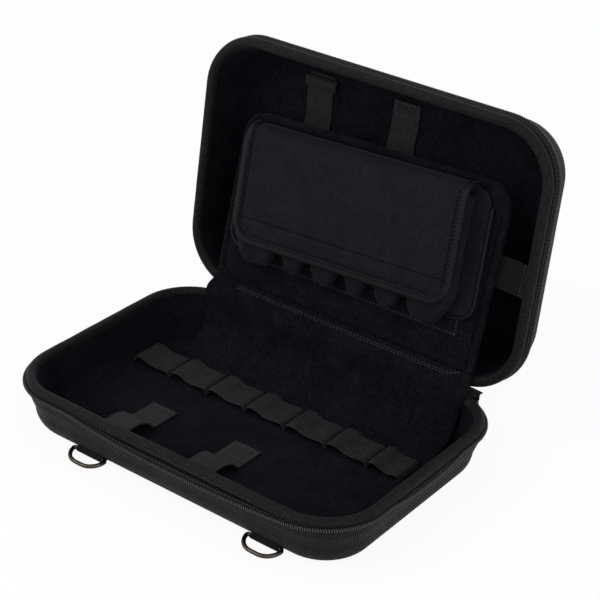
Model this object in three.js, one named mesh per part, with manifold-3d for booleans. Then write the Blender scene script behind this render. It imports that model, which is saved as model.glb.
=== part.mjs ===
// Zip-around moulded case for harmonicas, standing open.
// Millimetres. Origin at the middle of the flat underside, X to the right along the hinge,
// Y towards the hinge, Z up.
import * as THREE from 'three';
import Module from 'manifold-3d';
import { mergeVertices } from 'three/addons/utils/BufferGeometryUtils.js';

const QUARTER = Math.PI / 2;
const { degToRad, lerp, smoothstep } = THREE.MathUtils;

// Clearance kept between pieces that touch on the real case, and the overrun of a cutting shape.
const CLEAR = 0.3;
const OVERRUN = 1;

// Bound edge of each half: a cord-filled roll, measured through its middle.
const RIM_LENGTH = 312;
const RIM_DEPTH = 205;
const RIM_CORNER = 43;
const CORNER_STEPS = 10;
const ROLL_RADIUS = 4.2;
const ROLL_SEAT = 3;
const ROLL_STEPS = 11;

// Hinge line: behind the rim and level with the parting plane between the two rolls.
const ROLL_TO_PARTING = 4.5;
const HINGE_SETBACK = 5;
const LID_OPEN_DEG = 97.6;

// Moulded half shells: a near upright wall, an elliptical foot and a flat outer face.
const BASE_HEIGHT = 41;
const LID_HEIGHT = 42.5;
const WALL_PROUD = 1.6;
const WALL_STRAIGHT = 12;
const WALL_DRAFT = 3.8;
const FOOT_RUN = 15.2;
const FOOT_RISE = 18.2;
const FOOT_STEPS = 5;
const SHELL_THICK = 4.5;
const LINING_THICK = 1;
const LINED = SHELL_THICK + CLEAR + LINING_THICK;
const FLAT_INSET = FOOT_RUN + WALL_DRAFT - WALL_PROUD;

// Zip tape and coil: outward and depth places in the rim's section. The lid's tape hangs back
// over its wall all round; the base's is tucked at the corners and droops along the straights.
const ZIP_FIRST_STEP = 1;
const ZIP_RUN_STEPS = { side: 8, front: 16 };
const TAPE_ROOT = [2.3, 4.2];
const TAPE_EDGE_TUCKED = [3.9, 3.2];
const TAPE_EDGE_HANGING = [3, 9];
const TAPE_THICK = 0.7;
const COIL_RADIUS = 1.3;
const COIL_SIDES = 6;
// Droop along the front and the sides: distances along the rim, from the middle of the back.
const FRONT_DROOP = [335, 450, 490, 577];
const SIDE_DROOP = [190, 235, 245, 295];
const SIDE_DROOP_SHARE = 0.45;

// Zip sliders: a shoe that wraps the coil from outside, with a bridge that holds the puller.
const SLIDER_AT_DEG = 18;
const SLIDER_SPAN_DEG = 12.6;
const SLIDER_STEPS = 4;
const SLIDER_PLATE = 1;
const SLIDER_INNER_EDGE = 4.6;
const BRIDGE_WIDTH = 1.6;
const BRIDGE_THICK = 0.8;
const BRIDGE_HALF_LENGTH = 2.1;
const PULLER_THICK = 1.2;
const PULLER_WIDTH = 5.6;
const PULLER_LENGTH = 22;
const PULLER_WINDOW = 3.7;
const PULLER_ROUND = 1.8;
const PULLER_CURVE_STEPS = 4;

// Woven webbing and elastic.
const WEBBING_WIDTH = 25.4;
const WEBBING_THICK = 1.4;
const ELASTIC_WIDTH = 28;
const ELASTIC_THICK = 1.2;
const STRAP_STEPS = 22;

// Elastic loops across the floor, one per harmonica, sewn down at these shares of the half length.
const LOOP_DIVIDER_SHARES = [-0.9006, -0.6519, -0.4032, -0.1545, 0.0942, 0.3429, 0.5917, 0.784];
const LOOP_DIVIDERS = LOOP_DIVIDER_SHARES.map((share) => (share * RIM_LENGTH) / 2);
const LOOP_MIDDLE_Y = RIM_DEPTH / 2 - 68.7;
const LOOP_CROWN = 5.3;
const LOOP_CROWN_POWER = 0.5;
const LOOP_FOOT = 2.4;
const LOOP_FOOT_GAP = 0.4;
const LOOP_STEPS = 12;

// Hold-down straps: left edge of each, and their line in side view as distances behind the
// middle of the front roll and heights.
const HOLD_DOWN_LEFT_X = -86;
const HOLD_DOWN_RIGHT_X = -3;
const HOLD_DOWN_LINE = [
  [6, 27.5],
  [7.1, 23.5],
  [10.7, 19.9],
  [19.5, 18.6],
  [30.5, 18],
  [40.5, 17.7],
  [47.5, 16.4],
  [53.7, 13.4],
  [57.7, 9],
  [61.5, 7],
  [68.5, 6.8],
  [86.5, 6.8],
];

// Rings at the front edge: wire, place of the straight bar, and the sewn tab that holds it.
const RING_LEFT_X = -77;
const RING_RIGHT_X = 90;
const RING_WIRE = 1.6;
const RING_WIDTH = 31;
const RING_REACH = 13;
const RING_FRONT_ROUND = 10.6;
const RING_BAR_ROUND = 2.2;
const RING_BAR_Y = -(RIM_DEPTH / 2 - 6.2);
const RING_BAR_Z = 3.2;
const RING_SIDES = 8;
const TAB_THICK = 0.9;
const TAB_WRAP_GAP = 0.25;
const TAB_LAYER_GAP = 0.2;
const TAB_LOW_Z = 0.6;
const TAB_LENGTH = 36.3;
const TAB_END_Y = RING_BAR_Y + TAB_LENGTH;
const TAB_WRAP_STEPS = 8;
const TAB_WRAP_LEAVES_DEG = -18;
const TAB_LEAD_IN = 3;

// Padded organiser panel: its own frame starts at its foot, leaning in the open lid.
const PAGE_FOOT_FORWARD = 14;
const PAGE_FOOT_IN = -4;
const PAGE_LEAN_DEG = 7.365;
const PAGE_HALF = RIM_LENGTH / 2 - 31;
const PAGE_TOP_LEFT = RIM_DEPTH - 65;
const PAGE_TOP_RIGHT = RIM_DEPTH - 57;
const PAGE_TOP_ROUND = 21;
const PAGE_FOOT_ROUND = 4;
const PAGE_THICK = 6;
const PAGE_EDGE_STEPS = 4;
const PAGE_CORNER_STEPS = 6;

// Fabric hinges: the outer strip behind the rolls and the velour panel inside.
const OUTER_HINGE_HALF = RIM_LENGTH / 2 - RIM_CORNER + 4;
const OUTER_HINGE_THICK = 0.9;
// Places of the outer strip: behind the hinge line, and below it for the base (above for the lid).
const OUTER_HINGE_LINE = [
  [-2.7, 17.5],
  [-2.7, 10],
  [-0.1, 6],
  [-0.1, 0.4],
];
const HINGE_PANEL_HALF = PAGE_HALF - 1;
const HINGE_PANEL_THICK = 2;
const HINGE_PANEL_STEPS = 22;
// Places of the velour panel: distance in front of the hinge line, and height.
const HINGE_PANEL_LINE = [
  [47.5, 7.1],
  [38.5, 7.4],
  [30, 9.2],
  [22.5, 13.6],
  [16.9, 21],
  [13.6, 31],
  [12.7, 40],
  [11.6, 46],
  [8.7, 50.6],
  [4.3, 54.6],
];

// Straps behind the panel, in the lid: forward distance from the hinge and depth into the lid.
const PANEL_STRAP_LEFT_X = -86;
const PANEL_STRAP_RIGHT_X = -4.5;
const PANEL_STRAP_TOP = { left: RIM_DEPTH - 14.5, right: RIM_DEPTH - 16 };
const PANEL_STRAP_TURN = RIM_DEPTH - 52;
const PANEL_STRAP_PULL = 18;
const PANEL_STRAP_ON_PAGE = [PAGE_TOP_LEFT - 36, PAGE_TOP_LEFT - 48];
const KEEPER_WIDTH = 30;
const KEEPER_SPAN = [RIM_DEPTH - 27, RIM_DEPTH - 17];
const KEEPER_THICK = 1.4;
const SIDE_STRAP_UP = 82.5;
const SIDE_STRAP_INNER = PAGE_HALF - 25;
const SIDE_STRAP_PAGE_END = PAGE_HALF + 2;
const SIDE_STRAP_WALL_DEPTH = 2.4;
const SIDE_STRAP_STEPS = 10;

// Hook patch on the panel and the pouch that presses onto it.
const PATCH_LEFT = 21 - PAGE_HALF;
const PATCH_RIGHT = PAGE_HALF - 19;
const PATCH_FOOT = { left: 22, right: 24 };
const PATCH_TOP = PAGE_TOP_LEFT - 12;
const PATCH_THICK = 0.7;
const POUCH_SIDE = -1.5;
const POUCH_UP = 90;
const POUCH_TURN_DEG = 2.65;
const LOOP_TAPE_SPAN = [-44, 34];
const LOOP_TAPE_THICK = 0.6;
const BACK_HALF = PAGE_HALF - 11.5;
const LOOP_TAPE_HALF = BACK_HALF - 17.5;
const BACK_FOOT = -54;
const BACK_TOP = 46.3;
const BACK_ROUND = 13;
const BACK_THICK = 1.5;
const BINDING_RADIUS = 1.5;
const BINDING_SIDES = 6;
const BINDING_TOP = 33;

// Harmonica pockets of the pouch, between these shares of the back's half width.
const POCKET_DIVIDER_SHARES = [-0.89, -0.5286, -0.2819, 0.0088, 0.2467, 0.5198, 0.8678];
const POCKET_DIVIDERS = POCKET_DIVIDER_SHARES.map((share) => share * BACK_HALF);
const POCKET_GAP = 0.4;
const POCKET_FOOT = -63;
const POCKET_TOP = 38.6;
const POCKET_FRONT = 18;
const POCKET_WALL = 1.6;
const POCKET_ROUND = 5.5;
const POCKET_TIP_RISE = 13;
const POCKET_TIP_PINCH = 9;
const POCKET_TIP_SQUEEZE = 5.2;
const POCKET_END_FLARE = 8;
const POCKET_TIP_STEPS = 4;
const POCKET_CORNER_STEPS = 4;

// Pouch flap: side view from the back panel over the top and down the front.
const FLAP_HALF = BACK_HALF - 12;
const FLAP_THICK = 1.8;
const FLAP_CORNER = 18;
const FLAP_FOOT = -45.5;
const FLAP_FOLD_STEPS = 12;
const FLAP_CORNER_STEPS = 5;
const FLAP_FOLD_LINE = [
  [47.4, 2.9],
  [48.3, 6.5],
  [47.9, 11.5],
  [45.6, 16],
  [41.2, 19.4],
  [35, 20.4],
];
const EDGING_COVER = 4.5;
const EDGING_WALL = 0.8;
const EDGING_START = 2.4;
const HOOK_TAPE_HALF = FLAP_HALF - 11.5;
const HOOK_TAPE_SPAN = [-38, -18];
const HOOK_TAPE_THICK = 0.9;

// Materials, with colours read by eye off the photograph.
function cloth(name, color, roughness) {
  return new THREE.MeshStandardMaterial({ name, color, roughness, metalness: 0 });
}

function metal(name, color, roughness) {
  return new THREE.MeshStandardMaterial({ name, color, roughness, metalness: 1 });
}

const shellCloth = cloth('laminated_shell_cloth', 0x19191a, 0.8);
const rimCloth = cloth('rim_binding', 0x262626, 0.75);
const velour = cloth('brushed_velour', 0x0d0e12, 0.95);
const tapeCloth = cloth('zip_tape', 0x161616, 0.9);
const coilPlastic = cloth('zip_coil', 0x121212, 0.45);
const webbing = cloth('woven_webbing', 0x222322, 0.8);
const elastic = cloth('woven_elastic', 0x262728, 0.8);
const pouchCloth = cloth('stretch_laminate', 0x1b1b20, 0.9);
const edgingTape = cloth('edging_tape', 0x1a1d20, 0.7);
const hookTape = cloth('hook_tape', 0x0e0f11, 0.9);
const darkSteel = metal('dark_plated_steel', 0x2a2622, 0.35);

// The two half shells: where each one's rim lies and which way its depth runs.
const BASE = { middleY: 0, rollZ: BASE_HEIGHT, deeper: -1, height: BASE_HEIGHT, tapeHangs: false };
const LID = {
  middleY: -(RIM_DEPTH / 2 + HINGE_SETBACK),
  rollZ: ROLL_TO_PARTING,
  deeper: 1,
  height: LID_HEIGHT,
  tapeHangs: true,
};
const HINGE_Y = RIM_DEPTH / 2 + HINGE_SETBACK;
const HINGE_Z = BASE_HEIGHT + ROLL_TO_PARTING;

// Closed solid from points and triangles, with every face turned outward.
function facedSolid(points, faces) {
  let volume = 0;
  const side = new THREE.Vector3();
  for (const [a, b, c] of faces) {
    volume += points[a].dot(side.crossVectors(points[b], points[c]));
  }
  const outward = volume > 0 ? faces : faces.map(([a, b, c]) => [a, c, b]);
  const geometry = new THREE.BufferGeometry().setFromPoints(points);
  geometry.setIndex(outward.flat());
  geometry.computeVertexNormals();
  return geometry;
}

// Triangles that close a flat ring, in the ring's own order.
function capFaces(ring) {
  const normal = new THREE.Vector3();
  const step = new THREE.Vector3();
  ring.forEach((point, i) => {
    normal.add(step.crossVectors(point, ring[(i + 1) % ring.length]));
  });
  normal.normalize();
  const across = new THREE.Vector3().subVectors(ring[1], ring[0]).normalize();
  const along = new THREE.Vector3().crossVectors(normal, across);
  const flat = ring.map((point) => new THREE.Vector2(point.dot(across), point.dot(along)));
  return THREE.ShapeUtils.triangulateShape(flat, []);
}

// Solid skinned over equal rings of points; looped joins the last ring to the first.
function skin(rings, looped = false) {
  const size = rings[0].length;
  const faces = [];
  const spans = looped ? rings.length : rings.length - 1;
  for (let r = 0; r < spans; r++) {
    const here = r * size;
    const next = ((r + 1) % rings.length) * size;
    for (let i = 0; i < size; i++) {
      const j = (i + 1) % size;
      faces.push([here + i, here + j, next + j], [here + i, next + j, next + i]);
    }
  }
  if (!looped) {
    const end = (rings.length - 1) * size;
    capFaces(rings[0]).forEach(([a, b, c]) => faces.push([a, c, b]));
    capFaces(rings.at(-1)).forEach(([a, b, c]) => faces.push([end + a, end + b, end + c]));
  }
  return facedSolid(rings.flat(), faces);
}

// Outline of a polygon given as [x, y, round] corners, anticlockwise, moved inward by inset.
function roundedOutline(corners, inset, steps) {
  const places = corners.map(([x, y]) => new THREE.Vector2(x, y));
  const last = corners.length - 1;
  return corners.flatMap(([, , round], i) => {
    const before = places[i === 0 ? last : i - 1];
    const after = places[i === last ? 0 : i + 1];
    const arrive = places[i].clone().sub(before).normalize();
    const leave = after.clone().sub(places[i]).normalize();
    const inA = new THREE.Vector2(-arrive.y, arrive.x);
    const inB = new THREE.Vector2(-leave.y, leave.x);
    const toMiddle = inA.clone().add(inB).divideScalar(1 + inA.dot(inB));
    const corner = places[i].clone().addScaledVector(toMiddle, inset);
    if (round === 0) {
      return [corner];
    }
    const radius = round - inset;
    const middle = corner.addScaledVector(toMiddle, radius);
    const start = Math.atan2(-inA.y, -inA.x);
    const turn = Math.atan2(inA.cross(inB), inA.dot(inB));
    return Array.from({ length: steps + 1 }, (_, s) => {
      const angle = start + (turn * s) / steps;
      return middle.clone().add(new THREE.Vector2(Math.cos(angle), Math.sin(angle)).multiplyScalar(radius));
    });
  });
}

// Flat piece with an outline of rounded corners; levels are [inset, height] pairs, bottom first.
function layered(corners, levels, steps, place) {
  return skin(
    levels.map(([inset, height]) =>
      roundedOutline(corners, inset, steps).map(({ x, y }) => place(x, y, height)),
    ),
  );
}

// Solid swept along stations; each section point is [outward, sideways] in the station's frame.
function sweep(stations, sectionAt, looped = false) {
  return skin(
    stations.map((station) =>
      sectionAt(station).map(([a, b]) =>
        station.at.clone().addScaledVector(station.out, a).addScaledVector(station.side, b),
      ),
    ),
    looped,
  );
}

// Regular polygon as a section for wires and cords.
function roundSection(radius, sides, middle = [0, 0]) {
  return Array.from({ length: sides }, (_, i) => {
    const angle = (2 * Math.PI * i) / sides;
    return [middle[0] + radius * Math.cos(angle), middle[1] + radius * Math.sin(angle)];
  });
}

// Flat strip that follows a line of [a, b] points and spans the third direction.
function strip(line, thickness, spanAt, place) {
  const rings = line.map((point, i) => {
    const before = line[Math.max(i - 1, 0)];
    const after = line[Math.min(i + 1, line.length - 1)];
    const arrive = new THREE.Vector2(point[0] - before[0], point[1] - before[1]).normalize();
    const leave = new THREE.Vector2(after[0] - point[0], after[1] - point[1]).normalize();
    const along = arrive.clone().add(leave).normalize();
    const whole = i === 0 || i === line.length - 1;
    const stretch = whole ? 1 : 1 / along.dot(leave);
    const half = (thickness / 2) * stretch;
    const [low, high] = spanAt(i);
    const upper = [point[0] - along.y * half, point[1] + along.x * half];
    const lower = [point[0] + along.y * half, point[1] - along.x * half];
    return [place(...upper, low), place(...upper, high), place(...lower, high), place(...lower, low)];
  });
  return skin(rings);
}

// Smooth line through control points, as [a, b] pairs.
function smoothLine(points, steps) {
  const curve = new THREE.SplineCurve(points.map(([a, b]) => new THREE.Vector2(a, b)));
  return curve.getSpacedPoints(steps).map(({ x, y }) => [x, y]);
}

// Boolean work on closed geometries.
const wasm = await Module();
wasm.setup();

function toManifold(geometry) {
  const bare = new THREE.BufferGeometry();
  bare.setAttribute('position', geometry.getAttribute('position'));
  bare.setIndex(geometry.getIndex());
  const merged = mergeVertices(bare);
  return new wasm.Manifold(
    new wasm.Mesh({
      numProp: 3,
      vertProperties: merged.getAttribute('position').array,
      triVerts: new Uint32Array(merged.getIndex().array),
    }),
  );
}

function fromManifold(manifold) {
  const mesh = manifold.getMesh();
  const geometry = new THREE.BufferGeometry();
  geometry.setAttribute('position', new THREE.BufferAttribute(mesh.vertProperties, 3));
  geometry.setIndex(new THREE.BufferAttribute(mesh.triVerts, 1));
  geometry.computeVertexNormals();
  return geometry;
}

function cutFrom(geometry, tools) {
  return fromManifold(tools.reduce((left, tool) => left.subtract(toManifold(tool)), toManifold(geometry)));
}

function joined(geometry, other) {
  return fromManifold(toManifold(geometry).add(toManifold(other)));
}

function piece(name, geometry, material) {
  const mesh = new THREE.Mesh(geometry, material);
  mesh.name = name;
  return mesh;
}

// Rim path: corner centres and rings at an outward offset and a depth below the roll's middle.
const RIM_CORNERS = [
  [RIM_LENGTH / 2, RIM_DEPTH / 2, RIM_CORNER],
  [-RIM_LENGTH / 2, RIM_DEPTH / 2, RIM_CORNER],
  [-RIM_LENGTH / 2, -RIM_DEPTH / 2, RIM_CORNER],
  [RIM_LENGTH / 2, -RIM_DEPTH / 2, RIM_CORNER],
];
const CORNER_X = RIM_LENGTH / 2 - RIM_CORNER;
const CORNER_Y = RIM_DEPTH / 2 - RIM_CORNER;

const LAST_CORNER = RIM_CORNERS.length - 1;

function rimRing(half, outward, depth) {
  const z = half.rollZ + half.deeper * depth;
  return roundedOutline(RIM_CORNERS, -outward, CORNER_STEPS).map(
    ({ x, y }) => new THREE.Vector3(x, y + half.middleY, z),
  );
}

// Wall section from the roll's seat to the flat face, moved inward by inset.
function wallSection(height, inset) {
  const footTop = height - FOOT_RISE;
  const section = [
    [WALL_PROUD - inset, ROLL_SEAT + CLEAR],
    [WALL_PROUD - inset, WALL_STRAIGHT],
  ];
  for (let i = 0; i <= FOOT_STEPS; i++) {
    const turn = (QUARTER * i) / FOOT_STEPS;
    section.push([
      (FOOT_RUN - inset) * Math.cos(turn) - FLAT_INSET,
      footTop + (FOOT_RISE - inset) * Math.sin(turn),
    ]);
  }
  return section;
}

// Tray between two insets of the wall section: a shell or its lining.
function tray(half, inset, thickness) {
  const outside = wallSection(half.height, inset);
  const inside = wallSection(half.height, inset + thickness).reverse();
  return skin([...inside, ...outside].map(([o, d]) => rimRing(half, o, d)));
}

// Bound edge: a round roll cut flat where it sits on the shell.
function rimRoll(half) {
  const halfCut = Math.acos(ROLL_SEAT / ROLL_RADIUS);
  const section = Array.from({ length: ROLL_STEPS + 1 }, (_, i) => {
    const angle = halfCut + ((2 * Math.PI - 2 * halfCut) * i) / ROLL_STEPS;
    return [ROLL_RADIUS * Math.sin(angle), ROLL_RADIUS * Math.cos(angle)];
  });
  return skin(section.map(([o, d]) => rimRing(half, o, d)), true);
}

// Share of the full droop at a distance along the rim from the middle of the back.
function ramp(distance, [from, full, until, end]) {
  return smoothstep(distance, from, full) * (1 - smoothstep(distance, until, end));
}

function droopAt(distance, whole) {
  const sides = ramp(distance, SIDE_DROOP) + ramp(whole - distance, SIDE_DROOP);
  return ramp(distance, FRONT_DROOP) + SIDE_DROOP_SHARE * sides;
}

// Station of the rim at a clockwise angle round one corner, seen from above.
function cornerStation(half, corner, angle) {
  const middle = new THREE.Vector3(
    corner <= 1 ? CORNER_X : -CORNER_X,
    (corner === 0 || corner === LAST_CORNER ? CORNER_Y : -CORNER_Y) + half.middleY,
    half.rollZ,
  );
  const out = new THREE.Vector3(Math.sin(angle), Math.cos(angle), 0);
  const side = new THREE.Vector3(0, 0, half.deeper);
  return { at: middle.addScaledVector(out, RIM_CORNER), out, side };
}

// Stations of the zip: from one end of the hinge round the front to the other.
function zipStations(half) {
  const stations = [];
  for (let corner = 0; corner <= LAST_CORNER; corner++) {
    const first = corner === 0 ? ZIP_FIRST_STEP : 0;
    const last = corner === LAST_CORNER ? CORNER_STEPS - ZIP_FIRST_STEP : CORNER_STEPS;
    const arc = [];
    for (let step = first; step <= last; step++) {
      arc.push(cornerStation(half, corner, QUARTER * (corner + step / CORNER_STEPS)));
    }
    if (corner > 0) {
      const steps = corner === 2 ? ZIP_RUN_STEPS.front : ZIP_RUN_STEPS.side;
      const from = stations.at(-1);
      for (let i = 1; i < steps; i++) {
        const at = from.at.clone().lerp(arc[0].at, i / steps);
        stations.push({ at, out: from.out, side: from.side });
      }
    }
    stations.push(...arc);
  }
  return withDroop(stations, half.tapeHangs);
}

// Adds each station's share of droop from its distance along the rim.
function withDroop(stations, tapeHangs) {
  const start = CORNER_X + (RIM_CORNER * QUARTER * ZIP_FIRST_STEP) / CORNER_STEPS;
  let distance = start;
  const distances = stations.map(({ at }, i) => {
    distance += i === 0 ? 0 : at.distanceTo(stations[i - 1].at);
    return distance;
  });
  const whole = distance + start;
  return stations.map((station, i) => ({
    ...station,
    droop: tapeHangs ? 1 : droopAt(distances[i], whole),
  }));
}

function tapeEdge(droop) {
  return TAPE_EDGE_TUCKED.map((tucked, i) => lerp(tucked, TAPE_EDGE_HANGING[i], droop));
}

function tapeDirection(droop) {
  const edge = tapeEdge(droop);
  return new THREE.Vector2(edge[0] - TAPE_ROOT[0], edge[1] - TAPE_ROOT[1]).normalize();
}

function zipTape(half) {
  return sweep(zipStations(half), ({ droop }) => {
    const edge = tapeEdge(droop);
    const { x, y } = tapeDirection(droop).multiplyScalar(TAPE_THICK / 2);
    return [
      [TAPE_ROOT[0] - y, TAPE_ROOT[1] + x],
      [edge[0] - y, edge[1] + x],
      [edge[0] + y, edge[1] - x],
      [TAPE_ROOT[0] + y, TAPE_ROOT[1] - x],
    ];
  });
}

function coilMiddle(droop) {
  const edge = tapeEdge(droop);
  const { x, y } = tapeDirection(droop).multiplyScalar(CLEAR + COIL_RADIUS);
  return [edge[0] + x, edge[1] + y];
}

function zipCoil(half) {
  return sweep(zipStations(half), ({ droop }) => roundSection(COIL_RADIUS, COIL_SIDES, coilMiddle(droop)));
}

// Zip sliders: hand is 1 on the right and -1 on the left.
function mirrored(geometry) {
  const turned = geometry.clone().applyMatrix4(new THREE.Matrix4().makeScale(-1, 1, 1));
  const order = [];
  const index = turned.getIndex().array;
  for (let i = 0; i < index.length; i += 3) {
    order.push(index[i], index[i + 2], index[i + 1]);
  }
  turned.setIndex(order);
  turned.computeVertexNormals();
  return turned;
}

const SLIDER_MIDDLE = coilMiddle(0);
const SLIDER_OUTER_EDGE = SLIDER_MIDDLE[0] + COIL_RADIUS + CLEAR + SLIDER_PLATE;
const BAR_REACH = Math.hypot(PULLER_THICK, PULLER_THICK) / 2;
const PULLER_OUTWARD = SLIDER_OUTER_EDGE + CLEAR + BAR_REACH;
const BRIDGE_OUTWARD = PULLER_OUTWARD + BAR_REACH + CLEAR + BRIDGE_THICK / 2;

function sliderShoe() {
  const [, depth] = SLIDER_MIDDLE;
  const inner = COIL_RADIUS + CLEAR;
  const outer = inner + SLIDER_PLATE;
  const web = SLIDER_OUTER_EDGE - SLIDER_PLATE;
  const section = [
    [SLIDER_INNER_EDGE, depth - outer],
    [SLIDER_OUTER_EDGE, depth - outer],
    [SLIDER_OUTER_EDGE, depth + outer],
    [SLIDER_INNER_EDGE, depth + outer],
    [SLIDER_INNER_EDGE, depth + inner],
    [web, depth + inner],
    [web, depth - inner],
    [SLIDER_INNER_EDGE, depth - inner],
  ];
  const stations = Array.from({ length: SLIDER_STEPS + 1 }, (_, i) => {
    const share = i / SLIDER_STEPS - 1 / 2;
    return cornerStation(BASE, 0, degToRad(SLIDER_AT_DEG + SLIDER_SPAN_DEG * share));
  });
  return sweep(stations, () => section);
}

// Frame of the right slider: its middle on the rim, with outward, along and depth directions.
const SLIDER_FRAME = cornerStation(BASE, 0, degToRad(SLIDER_AT_DEG));

function onSlider(outward, depth, along) {
  const tangent = new THREE.Vector3().crossVectors(SLIDER_FRAME.side, SLIDER_FRAME.out);
  return SLIDER_FRAME.at
    .clone()
    .addScaledVector(SLIDER_FRAME.out, outward)
    .addScaledVector(SLIDER_FRAME.side, depth)
    .addScaledVector(tangent, along);
}

function zipSlider() {
  const [, depth] = SLIDER_MIDDLE;
  const sunk = SLIDER_OUTER_EDGE - SLIDER_PLATE / 2;
  const line = [
    [sunk, depth - BRIDGE_HALF_LENGTH],
    [BRIDGE_OUTWARD, depth - BRIDGE_HALF_LENGTH],
    [BRIDGE_OUTWARD, depth + BRIDGE_HALF_LENGTH],
    [sunk, depth + BRIDGE_HALF_LENGTH],
  ];
  const bridge = strip(line, BRIDGE_THICK, () => [-BRIDGE_WIDTH / 2, BRIDGE_WIDTH / 2], onSlider);
  return joined(sliderShoe(), bridge);
}

// Puller: a flat tab whose window passes over the bridge, hanging by its end bar.
function zipPuller() {
  const half = PULLER_WIDTH / 2;
  const top = -PULLER_THICK / 2;
  const outline = [
    [-half, top, PULLER_THICK / 2],
    [half, top, PULLER_THICK / 2],
    [half, PULLER_LENGTH, PULLER_ROUND],
    [-half, PULLER_LENGTH, PULLER_ROUND],
  ];
  const windowHalf = BRIDGE_WIDTH / 2 + CLEAR;
  const windowOutline = [
    [-windowHalf, PULLER_THICK / 2, 0],
    [windowHalf, PULLER_THICK / 2, 0],
    [windowHalf, PULLER_WINDOW, 0],
    [-windowHalf, PULLER_WINDOW, 0],
  ];
  const place = (along, down, outward) => onSlider(PULLER_OUTWARD + outward, SLIDER_MIDDLE[1] + down, along);
  const slab = (corners, reach) =>
    layered(corners, [[0, -reach], [0, reach]], PULLER_CURVE_STEPS, place);
  return cutFrom(slab(outline, PULLER_THICK / 2), [slab(windowOutline, PULLER_THICK / 2 + OVERRUN)]);
}

// Ring: a flat wire D that lies forward on the floor, tipped down from its bar.
const RING_TIP = Math.asin((RING_BAR_Z - RING_WIRE) / RING_REACH);

function dRing(middleX) {
  const half = RING_WIDTH / 2;
  const corners = [
    [-half, -RING_REACH, RING_FRONT_ROUND],
    [half, -RING_REACH, RING_FRONT_ROUND],
    [half, 0, RING_BAR_ROUND],
    [-half, 0, RING_BAR_ROUND],
  ];
  const path = roundedOutline(corners, 0, CORNER_STEPS / 2);
  const side = new THREE.Vector3(0, 0, 1);
  const stations = path.map(({ x, y }, i) => {
    const before = path[(i + path.length - 1) % path.length];
    const after = path[(i + 1) % path.length];
    const out = new THREE.Vector3(after.y - before.y, before.x - after.x, 0).normalize();
    return { at: new THREE.Vector3(x, y, 0), out, side };
  });
  const ring = sweep(stations, () => roundSection(RING_WIRE, RING_SIDES), true);
  return ring.rotateX(RING_TIP).translate(middleX, RING_BAR_Y, RING_BAR_Z);
}

// Webbing tab: one length folded round the ring's bar, its two layers sewn under the front edge.
function ringTab(middleX) {
  const wrap = RING_WIRE + TAB_WRAP_GAP + TAB_THICK / 2;
  const upper = TAB_LOW_Z + TAB_THICK + TAB_LAYER_GAP;
  const line = [
    [TAB_END_Y, TAB_LOW_Z],
    [RING_BAR_Y + TAB_LEAD_IN, TAB_LOW_Z],
  ];
  const from = -QUARTER;
  const until = -2 * Math.PI + degToRad(TAB_WRAP_LEAVES_DEG);
  for (let i = 0; i <= TAB_WRAP_STEPS; i++) {
    const angle = lerp(from, until, i / TAB_WRAP_STEPS);
    line.push([RING_BAR_Y + wrap * Math.cos(angle), RING_BAR_Z + wrap * Math.sin(angle)]);
  }
  line.push([RING_BAR_Y + wrap + TAB_LEAD_IN / 2, upper], [TAB_END_Y, upper]);
  const span = [middleX - WEBBING_WIDTH / 2, middleX + WEBBING_WIDTH / 2];
  return strip(line, TAB_THICK, () => span, (y, z, x) => new THREE.Vector3(x, y, z));
}

// Shallow recess under the front edge that the ring tab and its wrapped end are sewn into.
function tabRecess(middleX) {
  const ceiling = TAB_LOW_Z + TAB_THICK + TAB_LAYER_GAP + TAB_THICK / 2 + CLEAR;
  const low = RING_BAR_Y;
  const high = TAB_END_Y + CLEAR;
  const wide = WEBBING_WIDTH + 2 * CLEAR;
  const slot = new THREE.BoxGeometry(wide, high - low, ceiling + OVERRUN);
  slot.translate(middleX, (low + high) / 2, (ceiling - OVERRUN) / 2);
  const wrap = RING_WIRE + TAB_WRAP_GAP + TAB_THICK + CLEAR;
  const groove = new THREE.CylinderGeometry(wrap, wrap, wide, 2 * CORNER_STEPS).rotateZ(QUARTER);
  groove.translate(middleX, RING_BAR_Y, RING_BAR_Z);
  return [slot, groove];
}

// Height of the lined floor, which curves up towards the end walls.
function linedFloor(x) {
  const past = Math.max(0, Math.abs(x) - (RIM_LENGTH / 2 - FLAT_INSET)) / (FOOT_RUN - LINED);
  return FOOT_RISE - (FOOT_RISE - LINED) * Math.sqrt(1 - past * past);
}

// Elastic loop: two sewn feet with a flattened arch between them.
function harmonicaLoop(from, until) {
  const left = from + LOOP_FOOT_GAP;
  const right = until - LOOP_FOOT_GAP;
  const rest = (x) => linedFloor(x) + CLEAR + ELASTIC_THICK / 2;
  const line = [[left, rest(left)]];
  for (let i = 0; i <= LOOP_STEPS; i++) {
    const share = i / LOOP_STEPS;
    const x = lerp(left + LOOP_FOOT, right - LOOP_FOOT, share);
    line.push([x, rest(x) + LOOP_CROWN * Math.sin(Math.PI * share) ** LOOP_CROWN_POWER]);
  }
  line.push([right, rest(right)]);
  const span = [LOOP_MIDDLE_Y - ELASTIC_WIDTH / 2, LOOP_MIDDLE_Y + ELASTIC_WIDTH / 2];
  return strip(line, ELASTIC_THICK, () => span, (x, z, y) => new THREE.Vector3(x, y, z));
}

function holdDownStrap(leftX) {
  const front = -RIM_DEPTH / 2;
  const places = HOLD_DOWN_LINE.map(([behind, z]) => [front + behind, z]);
  const line = smoothLine(places, STRAP_STEPS);
  const span = [leftX, leftX + WEBBING_WIDTH];
  return strip(line, WEBBING_THICK, () => span, (y, z, x) => new THREE.Vector3(x, y, z));
}

// Place in the lid's section, forward of the hinge and into the lid, as a world Y and Z.
function lidSection(forward, into) {
  const open = degToRad(LID_OPEN_DEG);
  return [
    HINGE_Y - forward * Math.cos(open) + into * Math.sin(open),
    HINGE_Z + forward * Math.sin(open) + into * Math.cos(open),
  ];
}

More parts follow.
